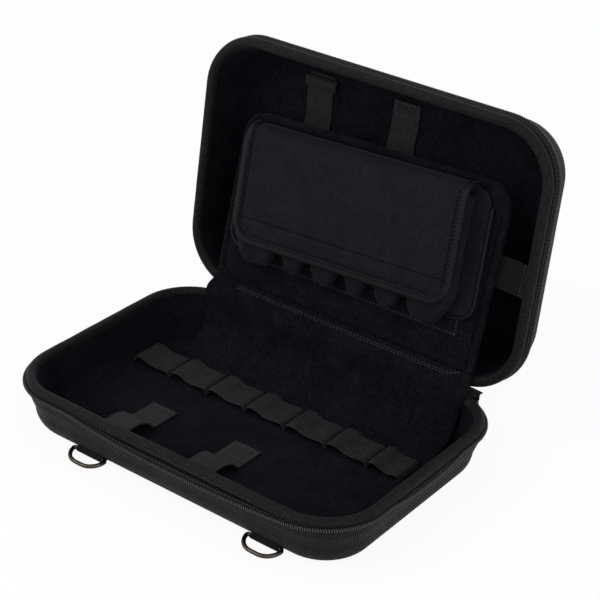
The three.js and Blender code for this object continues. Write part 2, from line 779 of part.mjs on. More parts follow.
// Outer hinge: a strip outside both rolls that bends on the hinge line.
function outerHinge() {
  const below = OUTER_HINGE_LINE.map(([back, down]) => [HINGE_Y + back, HINGE_Z - down]);
  const above = OUTER_HINGE_LINE.map(([back, up]) => lidSection(-back, up)).reverse();
  const span = [-OUTER_HINGE_HALF, OUTER_HINGE_HALF];
  const place = (y, z, x) => new THREE.Vector3(x, y, z);
  return strip([...below, ...above], OUTER_HINGE_THICK, () => span, place);
}

// Place on the organiser panel: up from its foot and out of its face, as forward and into the lid.
function pageSection(up, out) {
  const lean = degToRad(PAGE_LEAN_DEG);
  return [
    PAGE_FOOT_FORWARD + up * Math.cos(lean) + out * Math.sin(lean),
    PAGE_FOOT_IN + up * Math.sin(lean) - out * Math.cos(lean),
  ];
}

// Velour panel: sweeps off the floor, up the back wall and over the roll to the organiser's foot.
function hingePanel() {
  const foot = lidSection(...pageSection(-CLEAR, -HINGE_PANEL_THICK / 2));
  const places = HINGE_PANEL_LINE.map(([before, z]) => [HINGE_Y - before, z]);
  const line = smoothLine([...places, foot], HINGE_PANEL_STEPS);
  const span = [-HINGE_PANEL_HALF, HINGE_PANEL_HALF];
  return strip(line, HINGE_PANEL_THICK, () => span, (y, z, x) => new THREE.Vector3(x, y, z));
}

// Organiser panel: padded, with a soft rolled edge, in its own frame.
function organiserPanel() {
  const round = PAGE_THICK / 2;
  const corners = [
    [-PAGE_HALF, 0, PAGE_FOOT_ROUND],
    [PAGE_HALF, 0, PAGE_FOOT_ROUND],
    [PAGE_HALF, PAGE_TOP_RIGHT, PAGE_TOP_ROUND],
    [-PAGE_HALF, PAGE_TOP_LEFT, PAGE_TOP_ROUND],
  ];
  const levels = Array.from({ length: PAGE_EDGE_STEPS + 1 }, (_, i) => {
    const angle = (Math.PI * i) / PAGE_EDGE_STEPS;
    return [round - round * Math.sin(angle), -round - round * Math.cos(angle)];
  });
  return layered(corners, levels, PAGE_CORNER_STEPS, (x, up, out) => new THREE.Vector3(x, up, out));
}

// Strap from the lid's back to the back of the panel, in the lid's frame.
function panelStrap(leftX, top) {
  const standOff = CLEAR + WEBBING_THICK / 2;
  const back = ROLL_TO_PARTING + LID_HEIGHT - LINED - standOff;
  const behind = (up) => pageSection(up, -PAGE_THICK - standOff);
  const [landing, end] = PANEL_STRAP_ON_PAGE;
  const swing = new THREE.CubicBezierCurve(
    new THREE.Vector2(PANEL_STRAP_TURN, back),
    new THREE.Vector2(PANEL_STRAP_TURN - PANEL_STRAP_PULL, back),
    new THREE.Vector2(...behind(landing + PANEL_STRAP_PULL)),
    new THREE.Vector2(...behind(landing)),
  );
  const line = [[top, back], ...swing.getSpacedPoints(STRAP_STEPS).map(({ x, y }) => [x, y]), behind(end)];
  const span = [leftX, leftX + WEBBING_WIDTH];
  const place = (forward, into, x) => new THREE.Vector3(x, -forward, into);
  return strip(line, WEBBING_THICK, () => span, place);
}

// Folded keeper sewn across the left strap near the lid's top edge.
function strapKeeper() {
  const middle = PANEL_STRAP_LEFT_X + WEBBING_WIDTH / 2;
  const near = ROLL_TO_PARTING + LID_HEIGHT - LINED - 2 * CLEAR - WEBBING_THICK;
  const [low, high] = KEEPER_SPAN;
  const box = new THREE.BoxGeometry(KEEPER_WIDTH, high - low, KEEPER_THICK);
  return box.translate(middle, -(low + high) / 2, near - KEEPER_THICK / 2);
}

// Strap from behind the panel to the right side wall of the lid, in the panel's frame.
function sideStrap() {
  const behind = -PAGE_THICK - CLEAR - WEBBING_THICK / 2;
  const wall = RIM_LENGTH / 2 + WALL_PROUD - LINED - CLEAR;
  const line = [
    [SIDE_STRAP_INNER, behind],
    [lerp(SIDE_STRAP_INNER, SIDE_STRAP_PAGE_END, 1 / 2), behind],
    [SIDE_STRAP_PAGE_END, behind],
    [lerp(SIDE_STRAP_PAGE_END, wall, 1 / 2), lerp(behind, -SIDE_STRAP_WALL_DEPTH, 1 / 2)],
    [wall, -SIDE_STRAP_WALL_DEPTH],
  ];
  const span = [SIDE_STRAP_UP - WEBBING_WIDTH / 2, SIDE_STRAP_UP + WEBBING_WIDTH / 2];
  const place = (x, out, up) => new THREE.Vector3(x, up, out);
  return strip(smoothLine(line, SIDE_STRAP_STEPS), WEBBING_THICK, () => span, place);
}

// Pouch layers, outward from the panel's face.
const PATCH_AT = CLEAR;
const LOOP_TAPE_AT = PATCH_AT + PATCH_THICK + CLEAR;
const BACK_AT = LOOP_TAPE_AT + LOOP_TAPE_THICK + CLEAR;
const POCKET_AT = BACK_AT + BACK_THICK + CLEAR;

function flatLayer(corners, from, thickness, steps) {
  const place = (x, up, out) => new THREE.Vector3(x, up, out);
  return layered(corners, [[0, from], [0, from + thickness]], steps, place);
}

function hookPatch() {
  const corners = [
    [PATCH_LEFT, PATCH_FOOT.left, 0],
    [PATCH_RIGHT, PATCH_FOOT.right, 0],
    [PATCH_RIGHT, PATCH_TOP, 0],
    [PATCH_LEFT, PATCH_TOP, 0],
  ];
  return flatLayer(corners, PATCH_AT, PATCH_THICK, 1);
}

function loopTape() {
  const [low, high] = LOOP_TAPE_SPAN;
  const corners = [
    [-LOOP_TAPE_HALF, low, 0],
    [LOOP_TAPE_HALF, low, 0],
    [LOOP_TAPE_HALF, high, 0],
    [-LOOP_TAPE_HALF, high, 0],
  ];
  return flatLayer(corners, LOOP_TAPE_AT, LOOP_TAPE_THICK, 1);
}

const BACK_CORNERS = [
  [-BACK_HALF, BACK_FOOT, BACK_ROUND],
  [BACK_HALF, BACK_FOOT, BACK_ROUND],
  [BACK_HALF, BACK_TOP, BACK_ROUND],
  [-BACK_HALF, BACK_TOP, BACK_ROUND],
];

// Piped edge round the sides and foot of the pouch's back.
function pouchBinding() {
  const outset = -(CLEAR + BINDING_RADIUS);
  const foot = roundedOutline(BACK_CORNERS, outset, PAGE_CORNER_STEPS).slice(0, 2 * (PAGE_CORNER_STEPS + 1));
  const wide = BACK_HALF - outset;
  const path = [new THREE.Vector2(-wide, BINDING_TOP), ...foot, new THREE.Vector2(wide, BINDING_TOP)];
  const side = new THREE.Vector3(0, 0, 1);
  const stations = path.map(({ x, y }, i) => {
    const before = path[Math.max(i - 1, 0)];
    const after = path[Math.min(i + 1, path.length - 1)];
    const out = new THREE.Vector3(after.y - before.y, before.x - after.x, 0).normalize();
    return { at: new THREE.Vector3(x, y, BACK_AT + BACK_THICK / 2), out, side };
  });
  return sweep(stations, () => roundSection(BINDING_RADIUS, BINDING_SIDES));
}

// Ring of one pocket at a height, pinched in sideways and squeezed in depth.
function pocketRing({ left, right, flareLeft, flareRight }, pinch, squeeze, up) {
  const near = POCKET_AT + squeeze;
  const far = POCKET_FRONT - squeeze;
  const round = Math.min(POCKET_ROUND, (far - near) / 2);
  const corners = [
    [left - flareLeft + pinch, near, round],
    [right + flareRight - pinch, near, round],
    [right - pinch, far, round],
    [left + pinch, far, round],
  ];
  const outline = roundedOutline(corners, 0, POCKET_CORNER_STEPS);
  return outline.map(({ x, y }) => new THREE.Vector3(x, up, y));
}

// Pocket: open at the top, with a rounded finger-like foot; the end ones widen towards the back.
function pouchPocket(number) {
  const last = POCKET_DIVIDERS.length - 1;
  const body = {
    left: POCKET_DIVIDERS[number - 1] + POCKET_GAP / 2,
    right: POCKET_DIVIDERS[number] - POCKET_GAP / 2,
    flareLeft: number === 1 ? POCKET_END_FLARE : 0,
    flareRight: number === last ? POCKET_END_FLARE : 0,
  };
  const wallRings = (wall) => {
    const rings = [];
    for (let i = 0; i <= POCKET_TIP_STEPS; i++) {
      const turn = (QUARTER * i) / POCKET_TIP_STEPS;
      const closing = 1 - Math.sin(turn);
      const pinch = wall + (POCKET_TIP_PINCH - wall) * closing;
      const squeeze = wall + (POCKET_TIP_SQUEEZE - wall) * closing;
      const up = POCKET_FOOT + POCKET_TIP_RISE - (POCKET_TIP_RISE - wall) * Math.cos(turn);
      rings.push(pocketRing(body, pinch, squeeze, up));
    }
    rings.push(pocketRing(body, wall, wall, POCKET_TOP));
    return rings;
  };
  return skin([...wallRings(POCKET_WALL), ...wallRings(0).reverse()]);
}

// Flap line in side view, from the foot up the front and over the fold to the back.
const FLAP_FOLD = smoothLine(FLAP_FOLD_LINE, FLAP_FOLD_STEPS).reverse();
const FLAP_FRONT = FLAP_FOLD_LINE.at(-1)[1];

// Half width of the flap at a height above its foot, where its corners are rounded.
function flapHalfAt(height) {
  const short = Math.max(0, FLAP_CORNER - height);
  return FLAP_HALF - FLAP_CORNER + Math.sqrt(FLAP_CORNER ** 2 - short ** 2);
}

function cornerHeights() {
  return Array.from({ length: FLAP_CORNER_STEPS + 1 }, (_, i) => {
    return FLAP_CORNER * (1 - Math.cos((QUARTER * i) / FLAP_CORNER_STEPS));
  });
}

function pouchFlap() {
  const low = cornerHeights().map((height) => [FLAP_FOOT + height, FLAP_FRONT]);
  const line = [...low, ...FLAP_FOLD];
  const span = (i) => {
    const half = flapHalfAt(line[i][0] - FLAP_FOOT);
    return i < low.length ? [-half, half] : [-FLAP_HALF, FLAP_HALF];
  };
  return strip(line, FLAP_THICK, span, (up, out, x) => new THREE.Vector3(x, up, out));
}

// Stations along one side of the flap's edge, from the middle of its foot to the fold's end.
function flapEdgeStations(hand) {
  const low = cornerHeights().map((height, i) => {
    const turn = (QUARTER * i) / FLAP_CORNER_STEPS;
    return {
      at: new THREE.Vector3(hand * flapHalfAt(height), FLAP_FOOT + height, FLAP_FRONT),
      out: new THREE.Vector3(hand * Math.sin(turn), -Math.cos(turn), 0),
      side: new THREE.Vector3(0, 0, 1),
    };
  });
  const fold = FLAP_FOLD.filter(([, out]) => out > FLAP_FOLD_LINE[0][1] + EDGING_START);
  const high = fold.map(([up, out], i) => {
    const before = i === 0 ? [FLAP_FOOT, FLAP_FRONT] : fold[i - 1];
    const after = fold[Math.min(i + 1, fold.length - 1)];
    return {
      at: new THREE.Vector3(hand * FLAP_HALF, up, out),
      out: new THREE.Vector3(hand, 0, 0),
      side: new THREE.Vector3(0, before[1] - after[1], after[0] - before[0]).normalize(),
    };
  });
  return [...low, ...high];
}

// Edging tape folded over the flap's edge.
function flapBinding() {
  const inner = FLAP_THICK / 2 + CLEAR;
  const outer = inner + EDGING_WALL;
  const section = [
    [-EDGING_COVER, outer],
    [-EDGING_COVER, inner],
    [CLEAR, inner],
    [CLEAR, -inner],
    [-EDGING_COVER, -inner],
    [-EDGING_COVER, -outer],
    [CLEAR + EDGING_WALL, -outer],
    [CLEAR + EDGING_WALL, outer],
  ];
  const stations = [...flapEdgeStations(-1).reverse(), ...flapEdgeStations(1)];
  return sweep(stations, () => section);
}

function flapHookTape() {
  const [low, high] = HOOK_TAPE_SPAN;
  const corners = [
    [-HOOK_TAPE_HALF, low, 0],
    [HOOK_TAPE_HALF, low, 0],
    [HOOK_TAPE_HALF, high, 0],
    [-HOOK_TAPE_HALF, high, 0],
  ];
  const inner = FLAP_FRONT - FLAP_THICK / 2;
  return flatLayer(corners, inner - CLEAR - HOOK_TAPE_THICK, HOOK_TAPE_THICK, 1);
}

// Base half, with everything sewn to it.
function baseParts() {
  const recesses = [RING_LEFT_X, RING_RIGHT_X].flatMap(tabRecess);
  const loops = LOOP_DIVIDERS.slice(1).map((until, i) =>
    piece(`harmonica_loop_${i + 1}`, harmonicaLoop(LOOP_DIVIDERS[i], until), elastic),
  );
  return [
    piece('base_shell', cutFrom(tray(BASE, 0, SHELL_THICK), recesses), shellCloth),
    piece('base_lining', tray(BASE, SHELL_THICK + CLEAR, LINING_THICK), velour),
    piece('base_rim', rimRoll(BASE), rimCloth),
    piece('base_zip_tape', zipTape(BASE), tapeCloth),
    piece('base_zip_coil', zipCoil(BASE), coilPlastic),
    piece('outer_hinge', outerHinge(), shellCloth),
    piece('hinge_panel', hingePanel(), velour),
    ...loops,
    piece('hold_down_strap_left', holdDownStrap(HOLD_DOWN_LEFT_X), webbing),
    piece('hold_down_strap_right', holdDownStrap(HOLD_DOWN_RIGHT_X), webbing),
    piece('d_ring_tab_left', ringTab(RING_LEFT_X), webbing),
    piece('d_ring_tab_right', ringTab(RING_RIGHT_X), webbing),
    piece('d_ring_left', dRing(RING_LEFT_X), darkSteel),
    piece('d_ring_right', dRing(RING_RIGHT_X), darkSteel),
    piece('zip_slider_right', zipSlider(), darkSteel),
    piece('zip_slider_left', mirrored(zipSlider()), darkSteel),
    piece('zip_puller_right', zipPuller(), darkSteel),
    piece('zip_puller_left', mirrored(zipPuller()), darkSteel),
  ];
}

// Pouch, in the organiser panel's frame.
function pouchParts() {
  const pouch = new THREE.Group();
  pouch.name = 'pouch';
  pouch.position.set(POUCH_SIDE, POUCH_UP, 0);
  pouch.rotation.z = degToRad(POUCH_TURN_DEG);
  for (let number = 1; number < POCKET_DIVIDERS.length; number++) {
    pouch.add(piece(`pouch_pocket_${number}`, pouchPocket(number), pouchCloth));
  }
  pouch.add(
    piece('pouch_loop_tape', loopTape(), hookTape),
    piece('pouch_back', flatLayer(BACK_CORNERS, BACK_AT, BACK_THICK, PAGE_CORNER_STEPS), pouchCloth),
    piece('pouch_binding', pouchBinding(), edgingTape),
    piece('pouch_flap', pouchFlap(), pouchCloth),
    piece('flap_binding', flapBinding(), edgingTape),
    piece('flap_hook_tape', flapHookTape(), hookTape),
  );
  return pouch;
}

// Organiser panel with its pouch and side strap, in the lid's frame.
function organiser() {
  const page = new THREE.Group();
  page.name = 'organiser';
  page.position.set(0, -PAGE_FOOT_FORWARD, PAGE_FOOT_IN);
  page.rotation.x = Math.PI - degToRad(PAGE_LEAN_DEG);
  page.add(
    piece('organiser_panel', organiserPanel(), velour),
    piece('pouch_hook_patch', hookPatch(), hookTape),
    piece('side_strap', sideStrap(), webbing),
    pouchParts(),
  );
  return page;
}

function lidParts() {
  const lid = new THREE.Group();
  lid.name = 'lid';
  lid.position.set(0, HINGE_Y, HINGE_Z);
  lid.rotation.x = -degToRad(LID_OPEN_DEG);
  lid.add(
    piece('lid_shell', tray(LID, 0, SHELL_THICK), shellCloth),
    piece('lid_lining', tray(LID, SHELL_THICK + CLEAR, LINING_THICK), velour),
    piece('lid_rim', rimRoll(LID), rimCloth),
    piece('lid_zip_tape', zipTape(LID), tapeCloth),
    piece('lid_zip_coil', zipCoil(LID), coilPlastic),
    piece('panel_strap_left', panelStrap(PANEL_STRAP_LEFT_X, PANEL_STRAP_TOP.left), webbing),
    piece('panel_strap_right', panelStrap(PANEL_STRAP_RIGHT_X, PANEL_STRAP_TOP.right), webbing),
    piece('strap_keeper', strapKeeper(), webbing),
    organiser(),
  );
  return lid;
}

const group = new THREE.Group();
group.name = 'harmonica_case';
group.add(...baseParts(), lidParts());

export default group;
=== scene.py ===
# %% [markdown]
# # A zip-around case for harmonicas, standing open
# Two moulded half shells are lined with velour, bound with a cord-filled edge and joined by a
# cloth hinge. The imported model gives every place. This lesson dresses it: each cloth piece is
# rebuilt with its real softness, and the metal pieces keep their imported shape.

# %% Start
import math

import bmesh
import bpy
import numpy as np
from mathutils import Matrix, Vector, noise


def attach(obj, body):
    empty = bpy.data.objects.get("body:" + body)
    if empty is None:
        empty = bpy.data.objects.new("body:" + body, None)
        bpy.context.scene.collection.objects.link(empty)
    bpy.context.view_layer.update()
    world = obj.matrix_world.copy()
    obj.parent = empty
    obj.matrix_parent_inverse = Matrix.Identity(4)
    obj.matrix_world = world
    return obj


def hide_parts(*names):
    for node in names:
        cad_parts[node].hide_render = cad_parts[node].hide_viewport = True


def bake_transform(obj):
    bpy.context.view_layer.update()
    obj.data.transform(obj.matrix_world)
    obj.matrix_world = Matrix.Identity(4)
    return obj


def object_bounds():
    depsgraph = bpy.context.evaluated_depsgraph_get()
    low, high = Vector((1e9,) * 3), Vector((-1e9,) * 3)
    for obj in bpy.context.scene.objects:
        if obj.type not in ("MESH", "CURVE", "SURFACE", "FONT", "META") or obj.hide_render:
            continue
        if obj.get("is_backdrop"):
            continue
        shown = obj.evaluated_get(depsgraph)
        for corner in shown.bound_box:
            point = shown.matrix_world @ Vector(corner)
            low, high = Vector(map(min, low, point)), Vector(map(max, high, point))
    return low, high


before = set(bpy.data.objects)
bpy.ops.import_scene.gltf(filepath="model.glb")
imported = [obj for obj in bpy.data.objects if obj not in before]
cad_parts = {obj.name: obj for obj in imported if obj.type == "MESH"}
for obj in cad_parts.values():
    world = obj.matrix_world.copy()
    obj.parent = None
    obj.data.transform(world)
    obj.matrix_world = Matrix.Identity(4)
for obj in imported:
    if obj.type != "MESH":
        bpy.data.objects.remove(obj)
cad_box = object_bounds()
MM = 0.001

# %% [markdown]
# ## Camera
# The viewing angle was solved from the corners of both rims, so the camera is set from an
# azimuth, an elevation, a small roll and a distance to one target. A matrix is built straight
# from those instead of a tracking constraint, because the roll has to be exact.

# %% Camera
def new_object(name, data):
    """An object in the scene that holds this data."""
    made = bpy.data.objects.new(name, data)
    bpy.context.scene.collection.objects.link(made)
    return made


VIEW_AZIMUTH = math.radians(36.289)
VIEW_ELEVATION = math.radians(28.942)
VIEW_ROLL = math.radians(2.565)
VIEW_DISTANCE = 1450.44
VIEW_TARGET = Vector((-63.451, 140.951, 41.0))
LENS = 105.14

back = Vector((
    math.sin(VIEW_AZIMUTH) * math.cos(VIEW_ELEVATION),
    -math.cos(VIEW_AZIMUTH) * math.cos(VIEW_ELEVATION),
    math.sin(VIEW_ELEVATION),
))
right = (-back).cross(Vector((0, 0, 1))).normalized()
up = right.cross(-back)
rolled_right = math.cos(VIEW_ROLL) * right + math.sin(VIEW_ROLL) * up
rolled_up = -math.sin(VIEW_ROLL) * right + math.cos(VIEW_ROLL) * up
camera = new_object("camera", bpy.data.cameras.new("camera"))
turn = Matrix((rolled_right, rolled_up, back)).transposed().to_4x4()
camera.matrix_world = Matrix.Translation((VIEW_TARGET + back * VIEW_DISTANCE) * MM) @ turn
camera.data.lens = LENS
camera.data.sensor_width = 36
camera.data.clip_end = 20
bpy.context.scene.camera = camera
print("camera at", [round(x, 3) for x in camera.location])

# %% [markdown]
# ## The case's own frames
# The lid stands open on the hinge line, the organiser panel leans inside the lid, and the pouch
# is turned a little on that panel. One matrix for each lets a piece be written flat, in the
# millimetres of the part it belongs to, and placed once in its mesh.

# %% Places
HINGE_Y, HINGE_Z = 107.5, 45.5
LID_OPEN = math.radians(97.6)
PANEL_LEAN = math.radians(7.365)
PANEL_FOOT = (0, -14, -4)
POUCH_AT = (-1.5, 90, 0)
POUCH_TURN = math.radians(2.65)

ON_BASE = Matrix.Identity(4)
ON_LID = Matrix.Translation((0, HINGE_Y, HINGE_Z)) @ Matrix.Rotation(-LID_OPEN, 4, "X")
ON_PANEL = ON_LID @ Matrix.Translation(PANEL_FOOT) @ Matrix.Rotation(math.pi - PANEL_LEAN, 4, "X")
ON_POUCH = ON_PANEL @ Matrix.Translation(POUCH_AT) @ Matrix.Rotation(POUCH_TURN, 4, "Z")


def lid_section(forward, into):
    """A place in the lid's side view, forward of the hinge and into the lid, as world y and z."""
    return (
        HINGE_Y - forward * math.cos(LID_OPEN) + into * math.sin(LID_OPEN),
        HINGE_Z + forward * math.sin(LID_OPEN) + into * math.cos(LID_OPEN),
    )


def panel_section(upward, out):
    """A place in the panel's side view, up from its foot and out of its face, in the lid's."""
    return (
        -PANEL_FOOT[1] + upward * math.cos(PANEL_LEAN) + out * math.sin(PANEL_LEAN),
        PANEL_FOOT[2] + upward * math.sin(PANEL_LEAN) - out * math.cos(PANEL_LEAN),
    )


print("panel foot at", [round(x, 1) for x in ON_PANEL.translation])

# %% [markdown]
# ## Making cloth materials
# Every finish starts from one principled shader. One small function adds a node with its
# settings and links, and another opens a material, so that each finish below reads as a recipe.
# Colours are written as sRGB hex and turned to linear in one place.

# %% Material helpers
PATCH_SPAN, PATCH_ROUGHNESS = (0.32, 0.7), 0.62
SMALL_GRAIN = 0.05


def colour(hex_value):
    """Linear colour from sRGB hex."""
    srgb = [int(hex_value[i : i + 2], 16) / 255 for i in (0, 2, 4)]
    return *(c / 12.92 if c <= 0.04045 else ((c + 0.055) / 1.055) ** 2.4 for c in srgb), 1


def add(tree, kind, values=None, links=None, **properties):
    """A node with its properties, its input values and its input links."""
    node = tree.nodes.new(kind)
    for name, value in properties.items():
        setattr(node, name, value)
    for name, value in (values or {}).items():
        node.inputs[name].default_value = value
    for name, socket in (links or {}).items():
        tree.links.new(socket, node.inputs[name])
    return node


def open_material(name, **shader_values):
    """A new material, its tree and its principled shader with plain values set."""
    material = bpy.data.materials.new(name)
    material.use_nodes = True
    tree = material.node_tree
    shader = tree.nodes["Principled BSDF"]
    for key, value in shader_values.items():
        shader.inputs[key.replace("_", " ")].default_value = value
    return material, tree, shader


def open_mottled(name, coords_of, dark, light, patch_mm, detail=4, **shader_values):
    """A material whose colour wanders between two tones, in patches of a given size."""
    material, tree, shader = open_material(name, **shader_values)
    coords = coords_of(tree)
    patches = add(
        tree, "ShaderNodeTexNoise",
        {"Scale": 1000 / patch_mm, "Detail": detail, "Roughness": PATCH_ROUGHNESS},
        {"Vector": coords},
    )
    tones = add(tree, "ShaderNodeValToRGB", links={"Fac": patches.outputs["Fac"]})
    for mark, position, tone in zip(tones.color_ramp.elements, PATCH_SPAN, (dark, light)):
        mark.position, mark.color = position, colour(tone)
    tree.links.new(tones.outputs["Color"], shader.inputs["Base Color"])
    return material, tree, shader, coords


def groove_shade_and_speckle(tree, shader, height, most, low=0.0, high=1.0):
    """Darkens the low parts of a height pattern, by a share of the colour at the lowest.

    This is painted shade in the grooves of ribs and in the zip tape's band under the roll, and
    a darker speckle where the pattern is a fine grain.
    """
    before = shader.inputs["Base Color"].links[0].from_socket
    shade = add(
        tree, "ShaderNodeMapRange",
        {"From Min": low, "From Max": high, "To Min": 1 - most, "To Max": 1 + most / 4},
        {"Value": height},
    )
    darker = add(
        tree, "ShaderNodeVectorMath", links={0: before, "Scale": shade.outputs["Result"]},
        operation="SCALE",
    )
    tree.links.new(darker.outputs[0], shader.inputs["Base Color"])


def ribs(tree, coords, period_mm, direction):
    """Even ribs along one axis of the coordinates, one rib in each period."""
    phase_per_unit = 20 if direction != "DIAGONAL" else 10 * math.sqrt(2)
    return add(
        tree, "ShaderNodeTexWave", {"Scale": math.tau / phase_per_unit / (period_mm * MM)},
        {"Vector": coords}, bands_direction=direction,
    ).outputs["Fac"]


def grain(tree, coords, size_mm, detail=2):
    """Fine irregular threads or pile."""
    return add(
        tree, "ShaderNodeTexNoise", {"Scale": 1000 / size_mm, "Detail": detail}, {"Vector": coords}
    ).outputs["Fac"]


def raised(tree, shader, *layers):
    """Bumps of (height, real depth in millimetres), each on top of the one before."""
    below = {}
    for height, depth_mm in layers:
        values, links = {"Strength": 1.0, "Distance": depth_mm * MM}, {"Height": height, **below}
        normal = add(tree, "ShaderNodeBump", values, links).outputs["Normal"]
        below = {"Normal": normal}
    tree.links.new(normal, shader.inputs["Normal"])


def object_coords(tree):
    return add(tree, "ShaderNodeTexCoord").outputs["Object"]


def plain_finish(name, shade, roughness, shine, grain_mm):
    """A small hard thing in one shade, such as thread or a zip element, with a faint grain."""
    material, tree, shader = open_material(
        name, Base_Color=colour(shade), Roughness=roughness, Specular_IOR_Level=shine
    )
    raised(tree, shader, (grain(tree, object_coords(tree), grain_mm), SMALL_GRAIN))
    return material


def cloth_coords(tree):
    """The piece's own cloth map: metres along it and across it."""
    return add(tree, "ShaderNodeUVMap", uv_map="cloth").outputs["UV"]


# %% [markdown]
# ## Shell cloth
# The outside of each half is a coarse polyester twill, laminated to foam and pressed in a mould.
# The eye sees slanted ribs that catch light on one side. They are drawn on the cloth's own flat
# map, which the shells carry further down, so they bend over corners as pressed cloth does. The
# real rib is about 1 mm; it is drawn at 2.1 mm, the finest that shows at this size.

# %% Shell twill
shell_twill, tree, shader, coords = open_mottled(
    "moulded_polyester_twill", object_coords, "161617", "222223", 30,
    Roughness=0.5, Specular_IOR_Level=0.12, Sheen_Weight=0.02, Sheen_Roughness=0.5,
)
twill = ribs(tree, cloth_coords(tree), 2.1, "DIAGONAL")
# Painted shade darkens the grooves between the twill's ribs.
groove_shade_and_speckle(tree, shader, twill, 0.8)
raised(tree, shader, (twill, 1.2), (grain(tree, coords, 0.8), 0.15))

# %% [markdown]
# ## Rim cloth
# The rolled edge is bound in a tight black weave. Its threads are too fine to see, so a soft
# grain over a mottled colour and a trace of sheen carry it.

# %% Rim weave
rim_weave, tree, shader, coords = open_mottled(
    "rim_binding_weave", object_coords, "101011", "1b1b1c", 3, 6,
    Roughness=0.6, Specular_IOR_Level=0.08, Sheen_Weight=0.02, Sheen_Roughness=0.45,
)
groove_shade_and_speckle(tree, shader, grain(tree, coords, 1.8, 4), 0.5, 0.34, 0.6)
raised(tree, shader, (grain(tree, coords, 7, 3), 0.9), (grain(tree, coords, 1.2, 3), 0.4))

# %% [markdown]
# ## Velour
# The lining is a brushed knit with a short pile, nearly black with a blue cast. Pile that leans
# different ways makes soft cloudy patches, and its tips glow at a grazing angle: a tinted sheen
# over two sizes of mottling gives both.

# %% Velour
velour, tree, shader, coords = open_mottled(
    "brushed_velour", object_coords, "101014", "18171e", 22, 8, Roughness=0.95,
    Specular_IOR_Level=0.02, Sheen_Weight=0.1, Sheen_Roughness=0.35,
    Sheen_Tint=colour("8a8ca8"),
)
groove_shade_and_speckle(tree, shader, grain(tree, coords, 2.0, 4), 0.5, 0.32, 0.62)
raised(tree, shader, (grain(tree, coords, 14, 4), 1.2), (grain(tree, coords, 1.2, 4), 0.55))

# %% [markdown]
# ## Zip tape, coil, webbing and elastic
# Zip tape is a flat herringbone, with painted shade that makes it nearly black along its root
# under the roll. Its coil is bent nylon, in a grey that is partly its own and partly a painted
# highlight. The straps are woven polypropylene with cords across their width and fine picks
# between, and a darker copy of it is painted shade on the side strap and the ring tabs; the
# elastic of the loops has finer, closer ribs. These patterns follow each strip's own map, so they
# turn with it.

# %% Zip tape
# Painted shade: the tape is nearly black up to the first distance from its root, where the roll
# overhangs it, and clears by the second.
ROLL_SHADE_BAND = (1.4, 3.4)
zip_weave, tree, shader, coords = open_mottled(
    "zip_tape_herringbone", cloth_coords, "111112", "1a1a1b", 9,
    Roughness=0.7, Specular_IOR_Level=0.08,
)
across = add(tree, "ShaderNodeSeparateXYZ", links={0: coords}).outputs["Y"]
past_roll_shade = add(
    tree, "ShaderNodeMapRange", {"From Min": ROLL_SHADE_BAND[0] * MM, "From Max": ROLL_SHADE_BAND[1] * MM},
    {"Value": across},
)
groove_shade_and_speckle(tree, shader, past_roll_shade.outputs["Result"], 0.9)
herringbone = ribs(tree, coords, 1.3, "DIAGONAL")
raised(tree, shader, (ribs(tree, coords, 1.6, "Y"), 0.15), (herringbone, 0.12))

# %% Nylon coil
# The coil is a lighter grey than its own dark nylon: a painted highlight, so that its row reads as
# a glinting dotted line.
coil_nylon_painted_glint = plain_finish("zip_coil_nylon", "434345", 0.5, 0.2, 2)

# %% Webbing and elastic
def woven_strap(name, dark, light, patch_mm, roughness, cord_mm, pick_mm, pick_depth):
    """A woven strip in one pair of shades: cords across it, and fine picks between them."""
    material, tree, shader, coords = open_mottled(
        name, cloth_coords, dark, light, patch_mm,
        Roughness=roughness, Specular_IOR_Level=0.12, Sheen_Weight=0.03, Sheen_Roughness=0.4,
    )
    cords = ribs(tree, coords, cord_mm, "X")
    # Painted shade darkens the grooves between the cords.
    groove_shade_and_speckle(tree, shader, cords, 0.3)
    raised(tree, shader, (cords, 0.35), (ribs(tree, coords, pick_mm, "Y"), pick_depth))
    return material


polypropylene = (5, 0.5, 1.6, 2.1, 0.2)
webbing = woven_strap("woven_polypropylene_webbing", "1a1a1b", "252526", *polypropylene)
# A darker copy of the same webbing is painted shade, for the side strap in the lid wall's shadow
# and the ring tabs in the case's shadow.
painted_shade_webbing = woven_strap(
    "woven_polypropylene_webbing_painted_shade", "08080a", "0e0e10", *polypropylene
)
elastic = woven_strap("woven_elastic", "1a1a1c", "272729", 6, 0.55, 1.4, 3.2, 0.12)

# %% [markdown]
# ## Pouch laminate, edging, hook tape and thread
# The pouch is a foam laminate with a smooth knit face, a shade lighter and bluer than the
# velour. Its edges are folded in a satin tape with a faint rib. Hook and loop tapes are dense
# fields of stiff filaments that look rough and dull. Thread is twisted polyester: grey with a
# small shine, or a dull black where it sinks into black cloth.

# %% Pouch laminate
pouch_knit, tree, shader, coords = open_mottled(
    "knit_faced_foam_laminate", object_coords, "151519", "1c1b20", 16, 6, Roughness=0.8,
    Specular_IOR_Level=0.06, Sheen_Weight=0.06, Sheen_Roughness=0.4,
    Sheen_Tint=colour("b0b0c8"),
)
groove_shade_and_speckle(tree, shader, grain(tree, coords, 1.8, 3), 0.35, 0.32, 0.62)
raised(tree, shader, (grain(tree, coords, 18, 3), 1.0), (grain(tree, coords, 1.0, 3), 0.3))

# %% Edging tape
edging, tree, shader, coords = open_mottled(
    "satin_edging_tape", cloth_coords, "0d0e10", "141518", 4,
    Roughness=0.5, Specular_IOR_Level=0.1, Sheen_Weight=0.02, Sheen_Roughness=0.4,
)
raised(tree, shader, (ribs(tree, coords, 1.2, "X"), 0.12))

# %% Hook tape
hook_field, tree, shader, coords = open_mottled(
    "nylon_hook_tape", object_coords, "090a0d", "12131a", 6, Roughness=0.9, Specular_IOR_Level=0.1
)
raised(tree, shader, (grain(tree, coords, 1.3, 3), 0.5))

